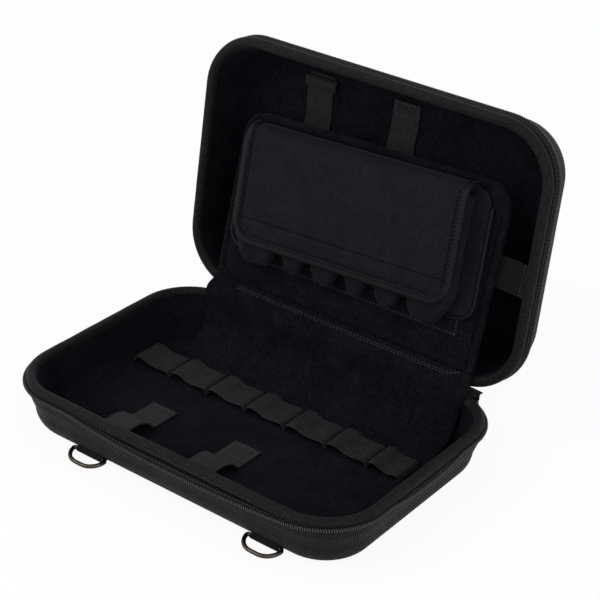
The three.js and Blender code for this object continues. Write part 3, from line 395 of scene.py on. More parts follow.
# %% Thread
thread = plain_finish("bonded_polyester_thread", "333438", 0.6, 0.2, 0.7)
dark_thread = plain_finish("bonded_polyester_thread_black", "030304", 0.6, 0.02, 0.7)
strap_thread = plain_finish("bonded_polyester_thread_grey", "38393c", 0.6, 0.2, 0.7)

# %% [markdown]
# ## Dark plated steel
# The rings, sliders and pullers are steel with a dark nickel plate. It is a metal, so its colour
# is its reflection. Fine noise in the roughness breaks up the highlight as tumbling marks do.

# %% Plated steel
plated_steel, tree, shader, coords = open_mottled(
    "dark_nickel_plated_steel", object_coords, "3d3833", "565049", 3, Metallic=1.0, Roughness=0.3
)
rough = add(
    tree, "ShaderNodeMapRange", {"To Min": 0.22, "To Max": 0.42},
    {"Value": grain(tree, coords, 1.5, 4)},
)
tree.links.new(rough.outputs["Result"], shader.inputs["Roughness"])
print("materials:", len(bpy.data.materials))

# %% [markdown]
# ## Mesh helpers
# Most pieces are a skin over equal rings of points, closed at the ends. A ribbon is a skin whose
# rings are thin, soft-edged strips that follow a line in side view. Each ribbon also returns its
# surface as a function, so that stitches can be laid on it afterwards. Slack comes from a smooth
# noise, always asked for as a place, a patch size and a seed.

# %% Skins
def new_mesh(name, points, edges, faces):
    mesh = bpy.data.meshes.new(name)
    mesh.from_pydata(points, edges, faces)
    return mesh


def skin(rings, cloth_map=None, looped=False):
    """Points, faces and cloth map of equal rings; open ends are closed with one face each."""
    rings = np.asarray(rings, float)
    count, size = rings.shape[:2]
    faces = []
    for r in range(count if looped else count - 1):
        here, there = r * size, ((r + 1) % count) * size
        for i in range(size):
            j = (i + 1) % size
            faces.append((here + i, here + j, there + j, there + i))
    if not looped:
        last = (count - 1) * size
        faces += [tuple(reversed(range(size))), tuple(range(last, last + size))]
    return rings.reshape(-1, 3), faces, cloth_map


def settle(name, mesh, body, finish, slot, nodes=(), sharp=50):
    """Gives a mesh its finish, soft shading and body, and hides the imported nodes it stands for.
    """
    mesh.shade_smooth()
    mesh.set_sharp_from_angle(angle=math.radians(sharp))
    mesh.materials.clear()
    mesh.materials.append(finish)
    piece = new_object(name, mesh)
    if body is not None:
        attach(piece, body)
    if nodes:
        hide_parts(*nodes)
    print(name, "faces:", len(mesh.polygons))
    return piece


def dress(name, shape, body, finish, slot, nodes=(), place=ON_BASE, sharp=50):
    """A finished piece: placed in its mesh, faces outward, riding on its body."""
    points, faces, cloth_map = shape
    spot = np.array(place)
    points = (points @ spot[:3, :3].T + spot[:3, 3]) * MM
    mesh = new_mesh(name, points.tolist(), [], faces)
    if cloth_map is not None:
        layer = mesh.uv_layers.new(name="cloth")
        corners = np.empty(len(mesh.loops), np.int32)
        mesh.loops.foreach_get("vertex_index", corners)
        layer.data.foreach_set("uv", np.asarray(cloth_map, np.float32)[corners].ravel())
    work = bmesh.new()
    work.from_mesh(mesh)
    bmesh.ops.recalc_face_normals(work, faces=work.faces)
    work.to_mesh(mesh)
    work.free()
    return settle(name, mesh, body, finish, slot, nodes, sharp)

# %% Lines
def rounded_outline(corners, inset, steps, run_steps=1):
    """Outline of [x, y, round] corners, anticlockwise, moved inward, with its runs divided."""
    places = [Vector(c[:2]) for c in corners]
    arcs = []
    for i, (*_, round_size) in enumerate(corners):
        before, after = places[i - 1], places[(i + 1) % len(corners)]
        arrive, leave = (places[i] - before).normalized(), (after - places[i]).normalized()
        in_a, in_b = Vector((-arrive.y, arrive.x)), Vector((-leave.y, leave.x))
        to_middle = (in_a + in_b) / (1 + in_a.dot(in_b))
        radius = round_size - inset
        middle = places[i] + to_middle * inset + to_middle * radius
        start = math.atan2(-in_a.y, -in_a.x)
        bend = math.atan2(in_a.x * in_b.y - in_a.y * in_b.x, in_a.dot(in_b))
        arc = [start + bend * s / steps for s in range(steps + 1)]
        arcs.append([middle + radius * Vector((math.cos(a), math.sin(a))) for a in arc])
    points = []
    for i, arc in enumerate(arcs):
        start, end = arc[-1], arcs[(i + 1) % len(arcs)][0]
        points += arc + [start.lerp(end, s / run_steps) for s in range(1, run_steps)]
    return points


def run_along(line):
    """The distance of each point of a line from its start."""
    steps = np.linalg.norm(np.diff(line, axis=0), axis=1)
    return np.concatenate([[0], np.cumsum(steps)])


def even(line, step):
    """The same line with points an even step apart."""
    line = np.asarray(line, float)
    run = run_along(line)
    wanted = np.linspace(0, run[-1], max(3, int(run[-1] / step) + 1))
    return np.stack([np.interp(wanted, run, line[:, k]) for k in range(line.shape[1])], 1)


def smooth_line(points, step):
    """Smooth line through control points, resampled evenly."""
    points = np.asarray(points, float)
    last, fine = len(points) - 1, []
    for i in range(last):
        a, b = points[max(i - 1, 0)], points[i]
        c, d = points[i + 1], points[min(i + 2, last)]
        for t in np.linspace(0, 1, 24, endpoint=False):
            pull_b, pull_c = (c - a) / 2, (d - b) / 2
            fine.append(
                (2 * b - 2 * c + pull_b + pull_c) * t**3
                + (-3 * b + 3 * c - 2 * pull_b - pull_c) * t**2 + pull_b * t + b
            )
    return even([*fine, points[-1]], step)


def wander(x, y, size, seed):
    """Smooth noise between -1 and 1, in patches of a given size, the same on every run."""
    return noise.noise(Vector((x / size, y / size, seed * 7.31)))


def smooth_step(x, low, high):
    t = min(1, max(0, (x - low) / (high - low)))
    return t * t * (3 - 2 * t)


def bump(x, middle, reach):
    """A soft bump of height 1 about a middle."""
    return math.exp(-(((x - middle) / reach) ** 2))


def rounded_half(half, round_size, from_end):
    """Half the width of a piece with round corners, at a distance from its end."""
    short = max(0, round_size - from_end)
    return half - round_size + math.sqrt(max(0, round_size**2 - short**2))

# %% Ribbons
EDGE_LEAST = 0.04


def ribbon(line, thick, span, to_space, columns, lift=None, plump=None, soft_end=0):
    """A soft-edged strip along a line of side-view points, and its surface as a function.

    span, or span(u), gives its low and high edge, lift(u, v) moves it off its line, and
    plump(u, v) scales its thickness, for u from 0 to 1 along it and v from -1 to 1 across it.
    """
    line = np.asarray(line, float)
    ahead = np.vstack([line[1:], line[-1:]]) - np.vstack([line[:1], line[:-1]])
    ahead /= np.linalg.norm(ahead, axis=1)[:, None]
    off = np.stack([-ahead[:, 1], ahead[:, 0]], 1)
    run = run_along(line)
    across = np.linspace(-1, 1, columns + 1)
    across = np.sin(across * math.pi / 2) * 0.35 + across * 0.65

    def swell(from_edge, reach):
        return math.sqrt(max(EDGE_LEAST, 1 - max(0, 1 - from_edge / reach) ** 2))

    def thick_at(u, v, wide):
        full = swell(wide * (1 - abs(v)), thick / 2)
        if soft_end:
            full *= swell(min(u, 1 - u) * run[-1], soft_end)
        return thick / 2 * full * (plump(u, v) if plump else 1)

    def place_across(u, v):
        low, high = span(u) if callable(span) else span
        return (low + high) / 2 + v * (high - low) / 2, (high - low) / 2

    def at(u, v, side):
        a, b, off_a, off_b = (np.interp(u * run[-1], run, c) for c in (*line.T, *off.T))
        sideways, wide = place_across(u, v)
        reach = side * thick_at(u, v, wide) + (lift(u, v) if lift else 0)
        return to_space(a + off_a * reach, b + off_b * reach, sideways)

    rings, cloth_map = [], []
    around = [(v, 1) for v in across] + [(v, -1) for v in across[::-1]]
    for distance in run:
        u = distance / run[-1]
        rings.append([at(u, v, side) for v, side in around])
        cloth_map += [(distance * MM, place_across(u, v)[0] * MM) for v, _ in around]
    return skin(rings, cloth_map), at


def strip(name, wear, *form, **more):
    """A ribbon that is dressed at once, and its surface."""
    shape, at = ribbon(*form, **more)
    return dress(name, shape, *wear), at


def in_side_view(y, z, x):
    return (x, y, z)


def in_front_view(x, z, y):
    return (x, y, z)

# %% [markdown]
# ## Rows and cords by Geometry Nodes
# Zip elements and stitches are one small shape repeated at an even pitch along a path, and rolls,
# piping and rings are one round section carried along a path. Two node trees make them all. A
# path is a mesh of edges, and the result is turned to a plain mesh before it joins a body.

# %% Node trees
def start_tree(name, **inputs):
    """A tree with named inputs: itself, their identifiers, what it is given, and its path."""
    tree = bpy.data.node_groups.new(name, "GeometryNodeTree")
    tree.interface.new_socket("Geometry", in_out="OUTPUT", socket_type="NodeSocketGeometry")
    names = {}
    for label, kind in {"Geometry": "Geometry", **inputs, "Finish": "Material"}.items():
        socket = tree.interface.new_socket(label, in_out="INPUT", socket_type="NodeSocket" + kind)
        names[label] = socket.identifier
    given = add(tree, "NodeGroupInput").outputs
    curve = add(tree, "GeometryNodeMeshToCurve", links={"Mesh": given["Geometry"]})
    return tree, names, given, curve.outputs["Curve"]


def end_tree(tree, given, geometry):
    whole = add(tree, "GeometryNodeRealizeInstances", links={"Geometry": geometry})
    painted = add(
        tree, "GeometryNodeSetMaterial",
        links={"Geometry": whole.outputs[0], "Material": given["Finish"]},
    )
    add(tree, "NodeGroupOutput", links={"Geometry": painted.outputs[0]})


tree, row_inputs, given, curve = start_tree(
    "shape_repeated_along_path", Pitch="Float", Shape="Object"
)
marks = add(
    tree, "GeometryNodeCurveToPoints", links={"Curve": curve, "Length": given["Pitch"]},
    mode="LENGTH",
).outputs
facing = add(
    tree, "FunctionNodeAlignRotationToVector", links={"Vector": marks["Tangent"]}, axis="Z"
).outputs["Rotation"]
repeated = add(tree, "GeometryNodeObjectInfo", links={"Object": given["Shape"]})
copies = add(
    tree, "GeometryNodeInstanceOnPoints",
    links={"Points": marks["Points"], "Instance": repeated.outputs["Geometry"], "Rotation": facing},
)
end_tree(tree, given, copies.outputs[0])
ROW = (tree, row_inputs)

tree, cord_inputs, given, curve = start_tree(
    "round_section_along_path", Radius="Float", Sides="Int"
)
section = add(
    tree, "GeometryNodeCurvePrimitiveCircle",
    links={"Radius": given["Radius"], "Resolution": given["Sides"]},
)
tube = add(
    tree, "GeometryNodeCurveToMesh", {"Fill Caps": True},
    {"Curve": curve, "Profile Curve": section.outputs["Curve"]},
)
end_tree(tree, given, tube.outputs[0])
CORD = (tree, cord_inputs)


def grow(kind, values, name, paths, body, finish, slot, nodes=(), place=ON_BASE, closed=False):
    """Runs a tree on paths in millimetres and settles the plain mesh that it makes."""
    tree, inputs = kind
    points, edges = [], []
    for path in paths:
        first = len(points)
        points += [place @ Vector(p) * MM for p in path]
        edges += [(i, i + 1) for i in range(first, len(points) - 1)]
        if closed:
            edges.append((len(points) - 1, first))
    holder = new_object(name + "_path", new_mesh(name + "_path", points, edges, []))
    modifier = holder.modifiers.new("make", "NODES")
    modifier.node_group = tree
    for label, value in {**values, "Finish": finish}.items():
        modifier[inputs[label]] = value
    scene_graph = bpy.context.evaluated_depsgraph_get()
    mesh = bpy.data.meshes.new_from_object(holder.evaluated_get(scene_graph))
    bpy.data.objects.remove(holder)
    mesh.name = name
    return settle(name, mesh, body, finish, slot, nodes, 70)


def row(name, paths, pitch, shape, *wear):
    """One small shape repeated along each path, at a pitch in millimetres."""
    return grow(ROW, {"Pitch": pitch * MM, "Shape": shape}, name, paths, *wear)


def cord(name, path, radius, sides, *wear):
    """A round section, of a radius in millimetres, carried along one path."""
    return grow(CORD, {"Radius": radius * MM, "Sides": sides}, name, [path], *wear)

# %% One stitch and one zip element
def small_shape(name, rings, looped=False):
    """A shape for the row tree to repeat, its length along Z; it is removed at the end."""
    points, faces, _ = skin(rings, looped=looped)
    return new_object(name, new_mesh(name, (points * MM).tolist(), [], faces))


def circle(count):
    return [math.tau * i / count for i in range(count)]


STITCH_LONG, STITCH_THICK, STITCH_PITCH = 2.2, 0.7, 3.2
stitch_rings = []
for share, width in ((-1, 0.45), (-0.7, 0.9), (0, 1), (0.7, 0.9), (1, 0.45)):
    radius, high = STITCH_THICK / 2 * width, share * STITCH_LONG / 2
    stitch_rings.append([(radius * math.cos(a), radius * math.sin(a), high) for a in circle(6)])
stitch = small_shape("one_stitch", stitch_rings)

COIL_OUTER, COIL_WIRE, COIL_PITCH, COIL_SLANT, COIL_CORE = 1.4, 0.42, 1.8, 0.35, 0.95
ROLL_SIDES, COIL_CORE_SIDES, PIPING_SIDES = 20, 8, 14
element_rings = []
for a in circle(10):
    out = Vector((math.cos(a), math.sin(a), 0))
    middle = out * (COIL_OUTER - COIL_WIRE) + Vector((0, 0, COIL_SLANT * math.sin(a)))
    element_rings.append([
        tuple(middle + COIL_WIRE * (math.cos(b) * out + Vector((0, 0, math.sin(b)))))
        for b in circle(5)
    ])
element = small_shape("one_zip_element", element_rings, True)

# %% [markdown]
# ## The rim's path
# Everything round the edge of a half is measured from one rounded rectangle: outward from the
# middle of the roll, and deeper into the half. The same few functions therefore place the shell,
# the lining, the roll and the zip of both halves.

# %% Rim
RIM_LENGTH, RIM_DEPTH, RIM_CORNER = 312, 205, 43
ROLL_RADIUS, CORNER_STEPS, RUN_STEPS = 4.2, 16, 36
HALVES = {
    "base": {
        "middle_y": 0, "roll_z": 41, "deeper": -1, "height": 41, "hangs": False, "place": ON_BASE,
    },
    "lid": {
        "middle_y": -HINGE_Y, "roll_z": 4.5, "deeper": 1, "height": 42.5, "hangs": True,
        "place": ON_LID,
    },
}
rim_corners = [
    (side_x * RIM_LENGTH / 2, side_y * RIM_DEPTH / 2, RIM_CORNER)
    for side_x, side_y in ((1, 1), (-1, 1), (-1, -1), (1, -1))
]


def rim_ring(half, outward, depth):
    """One ring round a half, at an outward offset and a depth."""
    z = half["roll_z"] + half["deeper"] * depth
    outline = rounded_outline(rim_corners, -outward, CORNER_STEPS, RUN_STEPS)
    return [(p.x, p.y + half["middle_y"], z) for p in outline]

# %% [markdown]
# ## Shells and linings
# Each half is pressed from one sheet: a near upright wall, a rounded foot and a flat face. The
# wall's side view is written once, and an inset of it gives the lining. The lining is soft, so
# its walls get a slow wave of a few tenths of a millimetre.

# %% Shells
WALL_PROUD, WALL_TOP, WALL_STRAIGHT, WALL_DRAFT = 1.6, 3.3, 12, 3.8
FOOT_RUN, FOOT_RISE, FOOT_STEPS = 15.2, 18.2, 12
SHELL_THICK, LINING_THICK, CLEAR = 4.5, 1.0, 0.3
LINED = SHELL_THICK + LINING_THICK + CLEAR
LID_DEEP = HALVES["lid"]["roll_z"] + HALVES["lid"]["height"] - LINED
FLAT_INSET = FOOT_RUN + WALL_DRAFT - WALL_PROUD
LINING_WAVE, WAVE_SIZE = 0.3, 45


def wall_section(height, inset):
    section = [(WALL_PROUD - inset, WALL_TOP), (WALL_PROUD - inset, WALL_STRAIGHT)]
    for i in range(FOOT_STEPS + 1):
        bend = math.pi / 2 * i / FOOT_STEPS
        section.append((
            (FOOT_RUN - inset) * math.cos(bend) - FLAT_INSET,
            height - FOOT_RISE + (FOOT_RISE - inset) * math.sin(bend),
        ))
    return section


def tray(half, inset, thick, wave):
    """A tray whose walls may wave softly, with the flat map of the cloth pressed into it.

    On the flat map each wall lies outward of the flat face by the length of its own curve.
    """
    outside = wall_section(half["height"], inset)
    inside = wall_section(half["height"], inset + thick)
    rings, cloth_map = [], []
    for outward, depth in inside[::-1] + outside:
        share = (depth - WALL_TOP) / (half["height"] - WALL_TOP)
        free = wave * math.sin(math.pi * min(1, max(0, share))) / 150
        rings.append([
            (x * (1 + free * wander(x, y, WAVE_SIZE, 3)), y, z)
            for x, y, z in rim_ring(half, outward, depth)
        ])
    for section, way in ((inside, 1), (outside, -1)):
        drawn = run_along(section[::-1]) - FLAT_INSET
        for reach in drawn[::way]:
            cloth_map += [(x * MM, y * MM) for x, y, _ in rim_ring(half, float(reach), 0)]
    return skin(rings, cloth_map)


for name, half in HALVES.items():
    dress(
        f"{name}_shell_cloth", tray(half, 0, SHELL_THICK, 0), name, shell_twill,
        "laminated_shell", [f"{name}_shell"], half["place"], 60,
    )
    dress(
        f"{name}_velour_lining", tray(half, SHELL_THICK + CLEAR, LINING_THICK, LINING_WAVE), name,
        velour, "brushed_velour", [f"{name}_lining"], half["place"], 60,
    )

# %% [markdown]
# ## Rolled edges
# A cord under tight cloth makes the roll. The cord tree carries a round section along the rim,
# and a slow wander of the path gives the small puckers of hand-guided sewing.

# %% Rolls
PUCKER, PUCKER_SIZE = 0.25, 16
for name, half in HALVES.items():
    path = [(x, y, z + PUCKER * wander(x, y, PUCKER_SIZE, 5)) for x, y, z in rim_ring(half, 0, 0)]
    cord(
        f"{name}_rim_roll", path, ROLL_RADIUS, ROLL_SIDES, name, rim_weave, "rim_binding",
        [f"{name}_rim"], half["place"], True,
    )

# %% [markdown]
# ## Zip
# The tape is sewn under the roll and hangs back over the wall. On the lid it hangs all round. On
# the base it is tucked at the corners and droops along the front and, less, along the sides. The
# coil runs on the tape's free edge, so it is seen as a dotted line that dips along the front. A
# dark filler cord runs inside the coil, as in real ones, and keeps light from passing through.

# %% Zip
TAPE_ROOT = np.array((2.3, 4.2))
TAPE_EDGE_TUCKED = np.array((3.9, 3.2))
TAPE_EDGE_HANGING = np.array((3.0, 9.0))
TAPE_THICK, SEAM_AT, SEAM_OFF = 0.7, 0.55, 1.3
FRONT_DROOP = (335, 450, 490, 577)
SIDE_DROOP, SIDE_DROOP_SHARE = (190, 235, 245, 295), 0.45
ZIP_START = 0.1
TAPE_RING = ((0, 1), (0.5, 1), (1, 1), (1, -1), (0.5, -1), (0, -1))


def ramp(x, marks):
    """Up from 0 to 1 between the first two marks, and down again between the last two."""
    return smooth_step(x, *marks[:2]) * (1 - smooth_step(x, *marks[2:]))


def zip_stations(half):
    """Stations of the zip from one end of the hinge round the front to the other."""
    corner_x, corner_y = RIM_LENGTH / 2 - RIM_CORNER, RIM_DEPTH / 2 - RIM_CORNER
    places = []
    for corner, (side_x, side_y) in enumerate(((1, 1), (1, -1), (-1, -1), (-1, 1))):
        middle = np.array((side_x * corner_x, side_y * corner_y + half["middle_y"]))
        begin, end = ZIP_START * (corner == 0), 1 - ZIP_START * (corner == 3)
        for share in np.linspace(begin, end, CORNER_STEPS + 1):
            angle = math.pi / 2 * (corner + share)
            out = np.array((math.sin(angle), math.cos(angle)))
            goal = middle + RIM_CORNER * out
            if share == 0:
                start = places[-1][0]
                for k in range(1, RUN_STEPS):
                    places.append((start + (goal - start) * k / RUN_STEPS, out))
            places.append((goal, out))
    from_middle = corner_x + RIM_CORNER * math.pi / 2 * ZIP_START
    distances = run_along([at for at, _ in places]) + from_middle
    stations = []
    for (at, out), d in zip(places, distances):
        back = distances[-1] + from_middle - d
        sides = SIDE_DROOP_SHARE * (ramp(d, SIDE_DROOP) + ramp(back, SIDE_DROOP))
        stations.append((at, out, 1.0 if half["hangs"] else ramp(d, FRONT_DROOP) + sides, d))
    return stations


for name, half in HALVES.items():
    rings, cloth_map, coil_path, seam = [], [], [], []
    for at, out, droop, d in zip_stations(half):
        def placed(offset, at=at, out=out):
            x, y = at + out * offset[0]
            return (float(x), float(y), half["roll_z"] + half["deeper"] * float(offset[1]))

        whole = TAPE_EDGE_TUCKED + (TAPE_EDGE_HANGING - TAPE_EDGE_TUCKED) * droop - TAPE_ROOT
        reach = np.linalg.norm(whole)
        ahead = whole / reach
        side = np.array((-ahead[1], ahead[0])) * TAPE_THICK / 2
        rings.append([placed(TAPE_ROOT + whole * s + side * way) for s, way in TAPE_RING])
        cloth_map += [(d * MM, s * reach * MM) for s, _ in TAPE_RING]
        coil_path.append(placed(TAPE_ROOT + whole + ahead * (CLEAR + COIL_OUTER)))
        seam.append(placed(TAPE_ROOT + whole * SEAM_AT - side * SEAM_OFF))
    place = half["place"]
    dress(
        f"{name}_zip_tape_cloth", skin(rings, cloth_map), name, zip_weave, "zip_tape",
        [f"{name}_zip_tape"], place,
    )
    row(
        f"{name}_zip_elements", [coil_path], COIL_PITCH, element, name, coil_nylon_painted_glint, "zip_coil",
        [f"{name}_zip_coil"], place,
    )
    cord(
        f"{name}_zip_coil_core", coil_path, COIL_CORE, COIL_CORE_SIDES, name, zip_weave, "zip_coil",
        (), place,
    )
    row(
        f"{name}_zip_stitches", [seam], STITCH_PITCH, stitch, name, thread, "zip_tape", (), place
    )

# %% [markdown]
# ## Cloth hinges
# The outer strip bends behind the two rolls. Inside, a wide velour panel sweeps off the floor, up
# the back wall and over the roll to the organiser's foot, and a double row of stitches crosses it
# just below that foot. Both cross the lid's joint, so they ride on neither half and are fixed
# where they lie with the lid open.

# %% Hinges
OUTER_HINGE_HALF = RIM_LENGTH / 2 - RIM_CORNER + 6.4
OUTER_HINGE_THICK, OUTER_HINGE_SPREAD = 0.9, 14
OUTER_HINGE_LINE = [(-2.7, 17.5), (-2.7, 10), (-0.1, 6), (-0.1, 0.4)]


def outer_hinge_span(u):
    """The strip's edges spread between the two zips, where it closes the gap of the rims."""
    half = OUTER_HINGE_HALF + OUTER_HINGE_SPREAD * smooth_step(0.17 - abs(u - 0.5), 0, 0.03)
    return (-half, half)


below = [(HINGE_Y + b, HINGE_Z - d) for b, d in OUTER_HINGE_LINE]
above = [lid_section(-b, d) for b, d in OUTER_HINGE_LINE][::-1]
outer_hinge, _ = strip(
    "outer_hinge_strip", (None, shell_twill, "hinge_cloth", ["outer_hinge"]),
    even(below + above, 1.2), OUTER_HINGE_THICK, outer_hinge_span, in_side_view, columns=60,
)
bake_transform(outer_hinge)

PANEL_HALF = RIM_LENGTH / 2 - 31
VELOUR_HALF, VELOUR_THICK, VELOUR_SPREAD = PANEL_HALF - 1, 2, 3.5
VELOUR_LINE = [
    (47.5, 7.1), (38.5, 7.4), (30, 9.2), (22.5, 13.6), (16.9, 21), (13.6, 31), (12.7, 40),
    (11.6, 46), (8.7, 50.6), (4.3, 54.6),
]
foot = lid_section(*panel_section(-CLEAR, -VELOUR_THICK / 2))
velour_path = smooth_line([(HINGE_Y - b, z) for b, z in VELOUR_LINE] + [foot], 1.6)


def velour_lift(u, v):
    """Slack across the bend in long folds, and a front edge pressed down into the lining."""
    slack = smooth_step(u, 0.3, 0.55) * (1 - smooth_step(u, 0.86, 0.97))
    folds = 0.9 * wander(u * 90, v * 40, 9, 2) + 0.5 * wander(u * 90, v * 120, 30, 4)
    return slack * folds - 1.2 * (1 - smooth_step(u, 0, 0.09))


def velour_span(u):
    """The panel's edges spread a little where it goes over the rolls."""
    half = VELOUR_HALF + VELOUR_SPREAD * bump(u, 0.83, 0.12)
    return (-half, half)


hinge_velour, on_velour = strip(
    "hinge_velour_panel", (None, velour, "brushed_velour", ["hinge_panel"]),
    velour_path, VELOUR_THICK, velour_span, in_side_view, 72, velour_lift,
    lambda u, v: 0.35 + 0.65 * smooth_step(u, 0, 0.08),
)
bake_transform(hinge_velour)

ROW_AT, ROW_GAP, STITCH_PROUD = 0.922, 0.025, 1.25
rows = []
for u in (ROW_AT, ROW_AT + ROW_GAP):
    rows.append([on_velour(u, v, STITCH_PROUD) for v in np.linspace(-0.775, 0.83, 60)])
    for s in np.linspace(0.1, 1, 6):
        rows[-1].append(on_velour(u + (0.985 - u) * s, 0.83 + 0.09 * s, STITCH_PROUD))
hinge_rows = row("hinge_stitches", rows, STITCH_PITCH, stitch, None, thread, "brushed_velour")
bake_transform(hinge_rows)

# %% [markdown]
# ## Elastic loops
# One elastic band is sewn to the floor at eight places, and the slack between makes seven loops.
# Relaxed elastic doesn't stand in a clean arch: its back edge peaks near one foot and dips in the
# middle, and its front edge rolls down. Each loop gets its own mix of those two moves.

# %% Loops
LOOP_DIVIDERS = [
    share * RIM_LENGTH / 2
    for share in (-0.9006, -0.6519, -0.4032, -0.1545, 0.0942, 0.3429, 0.5917, 0.784)
]
ELASTIC_WIDTH, ELASTIC_THICK = 28, 1.2
LOOP_CROWN, LOOP_FOOT_GAP, TACK_PITCH = 5.9, 0.3, 2.6
LOOP_PROFILE = (
    (0, 0.025, 0.07, 0.14, 0.22, 0.34, 0.48, 0.62, 0.76, 0.88, 0.945, 0.975, 1),
    (0, 0.45, 0.86, 1.0, 1.0, 0.87, 0.7, 0.61, 0.61, 0.66, 0.62, 0.4, 0),
)
loop_middle_y = RIM_DEPTH / 2 - 68.7
loop_span = (loop_middle_y - ELASTIC_WIDTH / 2, loop_middle_y + ELASTIC_WIDTH / 2)


def lined_floor(x):
    past = max(0, abs(x) - (RIM_LENGTH / 2 - FLAT_INSET)) / (FOOT_RUN - LINED)
    return FOOT_RISE - (FOOT_RISE - LINED) * math.sqrt(1 - past * past)


def loop_line(left, right):
    line = []
    for share in np.linspace(0, 1, 81):
        x = left + (right - left) * share
        crown = LOOP_CROWN * float(np.interp(share, *LOOP_PROFILE))
        line.append((x, lined_floor(x) + CLEAR + ELASTIC_THICK / 2 + crown))
    return even(line, 0.6)


def loop_rumple(number):
    """How far one loop's band is off its arch: peaked at the back, rolled down in front."""
    mood = 0.7 + 0.5 * wander(number, 0, 1.7, 9)

    def rumple(u, v):
        free = math.sin(math.pi * min(1, max(0, u))) ** 2
        back_share, front_share = (1 + v) / 2, (1 - v) / 2
        peak = bump(u, 0.27, 0.12) - 1.1 * bump(u, 0.5, 0.12)
        chance = 0.6 * wander(u * 30, v * 14, 9, number)
        return free * (mood * back_share * peak * 1.2 - front_share * bump(u, 0.6, 0.2) + chance)

    return rumple


for number, (start, until) in enumerate(zip(LOOP_DIVIDERS, LOOP_DIVIDERS[1:]), 1):
    strip(
        f"elastic_loop_{number}",
        ("base", elastic, "woven_elastic", [f"harmonica_loop_{number}"]),
        loop_line(start + LOOP_FOOT_GAP, until - LOOP_FOOT_GAP), ELASTIC_THICK, loop_span,
        in_front_view, 16, loop_rumple(number),
    )
tacks = []
for x in LOOP_DIVIDERS:
    high = lined_floor(x) + CLEAR + ELASTIC_THICK + 0.1
    inward = 1.4 if x == LOOP_DIVIDERS[0] else -1.4 if x == LOOP_DIVIDERS[-1] else 0
    tack = np.linspace(loop_span[0] + 0.8, loop_span[1] - 0.8, 20)
    tacks.append([(x + inward, y, high) for y in tack])
row("loop_tacks", tacks, TACK_PITCH, stitch, "base", thread, "woven_elastic")

# %% [markdown]
# ## Webbing straps
# Two straps rise from the front wall, arch over the floor and lie down flat; two more run from
# the lid's back to the back of the organiser panel, one passing under a folded keeper; and one
# joins the panel to the lid's right wall, in a darker webbing that is painted shade for the lid
# wall's shadow. Webbing is stiff across its width, so a ribbon with a little twist is enough, and
# simulation would only soften it.

# %% Straps
WEBBING_WIDTH, WEBBING_THICK, BOX_HALF, STRAP_PITCH = 25.4, 1.4, 0.82, 2.5
HOLD_DOWN_LINE = [
    (6, 27.5), (7.1, 23.5), (10.7, 19.9), (19.5, 18.6), (30.5, 18), (40.5, 17.7), (47.5, 16.4),
    (53.7, 13.4), (57.7, 9), (61.5, 7), (68.5, 6.8), (86.5, 6.8),
]
strap_rows = {"base": [], "lid": []}


def strap_twist(seed, most):
    """A slow twist and buckle of a strap, none at its sewn ends."""
    def lift(u, v):
        buckle = 0.6 * wander(u * 40, v * 6, 10, seed)
        twist = 0.6 * v * wander(u * 30, 0, 9, seed + 1)
        return most * (buckle + twist) * math.sin(math.pi * u)

    return lift


def strap_sway(left, seed, most):
    """The edges of a strap, which sways sideways a little between its sewn ends."""
    def span(u):
        free = most * math.sin(math.pi * u)
        aside = free * wander(u * 30, 0, 8, seed + 2)
        pinch = 0.4 * free * abs(wander(u * 30, 0, 6, seed + 3))
        return (left + aside + pinch, left + WEBBING_WIDTH + aside - pinch)

    return span


def selvedge(u, v):
    """The woven edge is a firm bead, with a fine groove inside it."""
    return 1 - 0.45 * bump(abs(v), 0.84, 0.045)


def web(name, body, finish, node, place, line, span, to_space, twist):
    """One strap of webbing along a line of side-view points, and its surface."""
    wear = (body, finish, "woven_webbing", [node], place)
    return strip(name, wear, line, WEBBING_THICK, span, to_space, 34, twist, selvedge)[1]


def box_stitch(at, u_low, u_high):
    """Four sides of a sewn box on a ribbon's surface, just proud of it."""
    us, vs = np.linspace(u_low, u_high, 12), np.linspace(-BOX_HALF, BOX_HALF, 12)
    loop = [(u_low, v) for v in vs] + [(u, BOX_HALF) for u in us[1:]]
    loop += [(u_high, v) for v in vs[-2::-1]] + [(u, -BOX_HALF) for u in us[-2::-1]]
    return [at(u, v, STITCH_PROUD) for u, v in loop]


hold_down = smooth_line([(-RIM_DEPTH / 2 + b, z) for b, z in HOLD_DOWN_LINE], 1.1)
for side, left, seed in (("left", -86, 11), ("right", -3, 14)):
    at = web(
        f"hold_down_webbing_{side}", "base", webbing, f"hold_down_strap_{side}", ON_BASE,
        hold_down, strap_sway(left, seed, 1.2), in_side_view, strap_twist(seed, 1.0),
    )
    strap_rows["base"].append(box_stitch(at, 0.79, 0.97))

PANEL_THICK = 6
PANEL_TOP = {"left": RIM_DEPTH - 65, "right": RIM_DEPTH - 57}
STRAP_OFF = CLEAR + WEBBING_THICK / 2
LID_BACK = LID_DEEP - STRAP_OFF
STRAP_TURN, STRAP_PULL, STRAP_TAIL = RIM_DEPTH - 52, 18, 12
STRAP_LANDING = PANEL_TOP["left"] - 36


def behind_panel(upward):
    return np.array(panel_section(upward, -PANEL_THICK - STRAP_OFF))


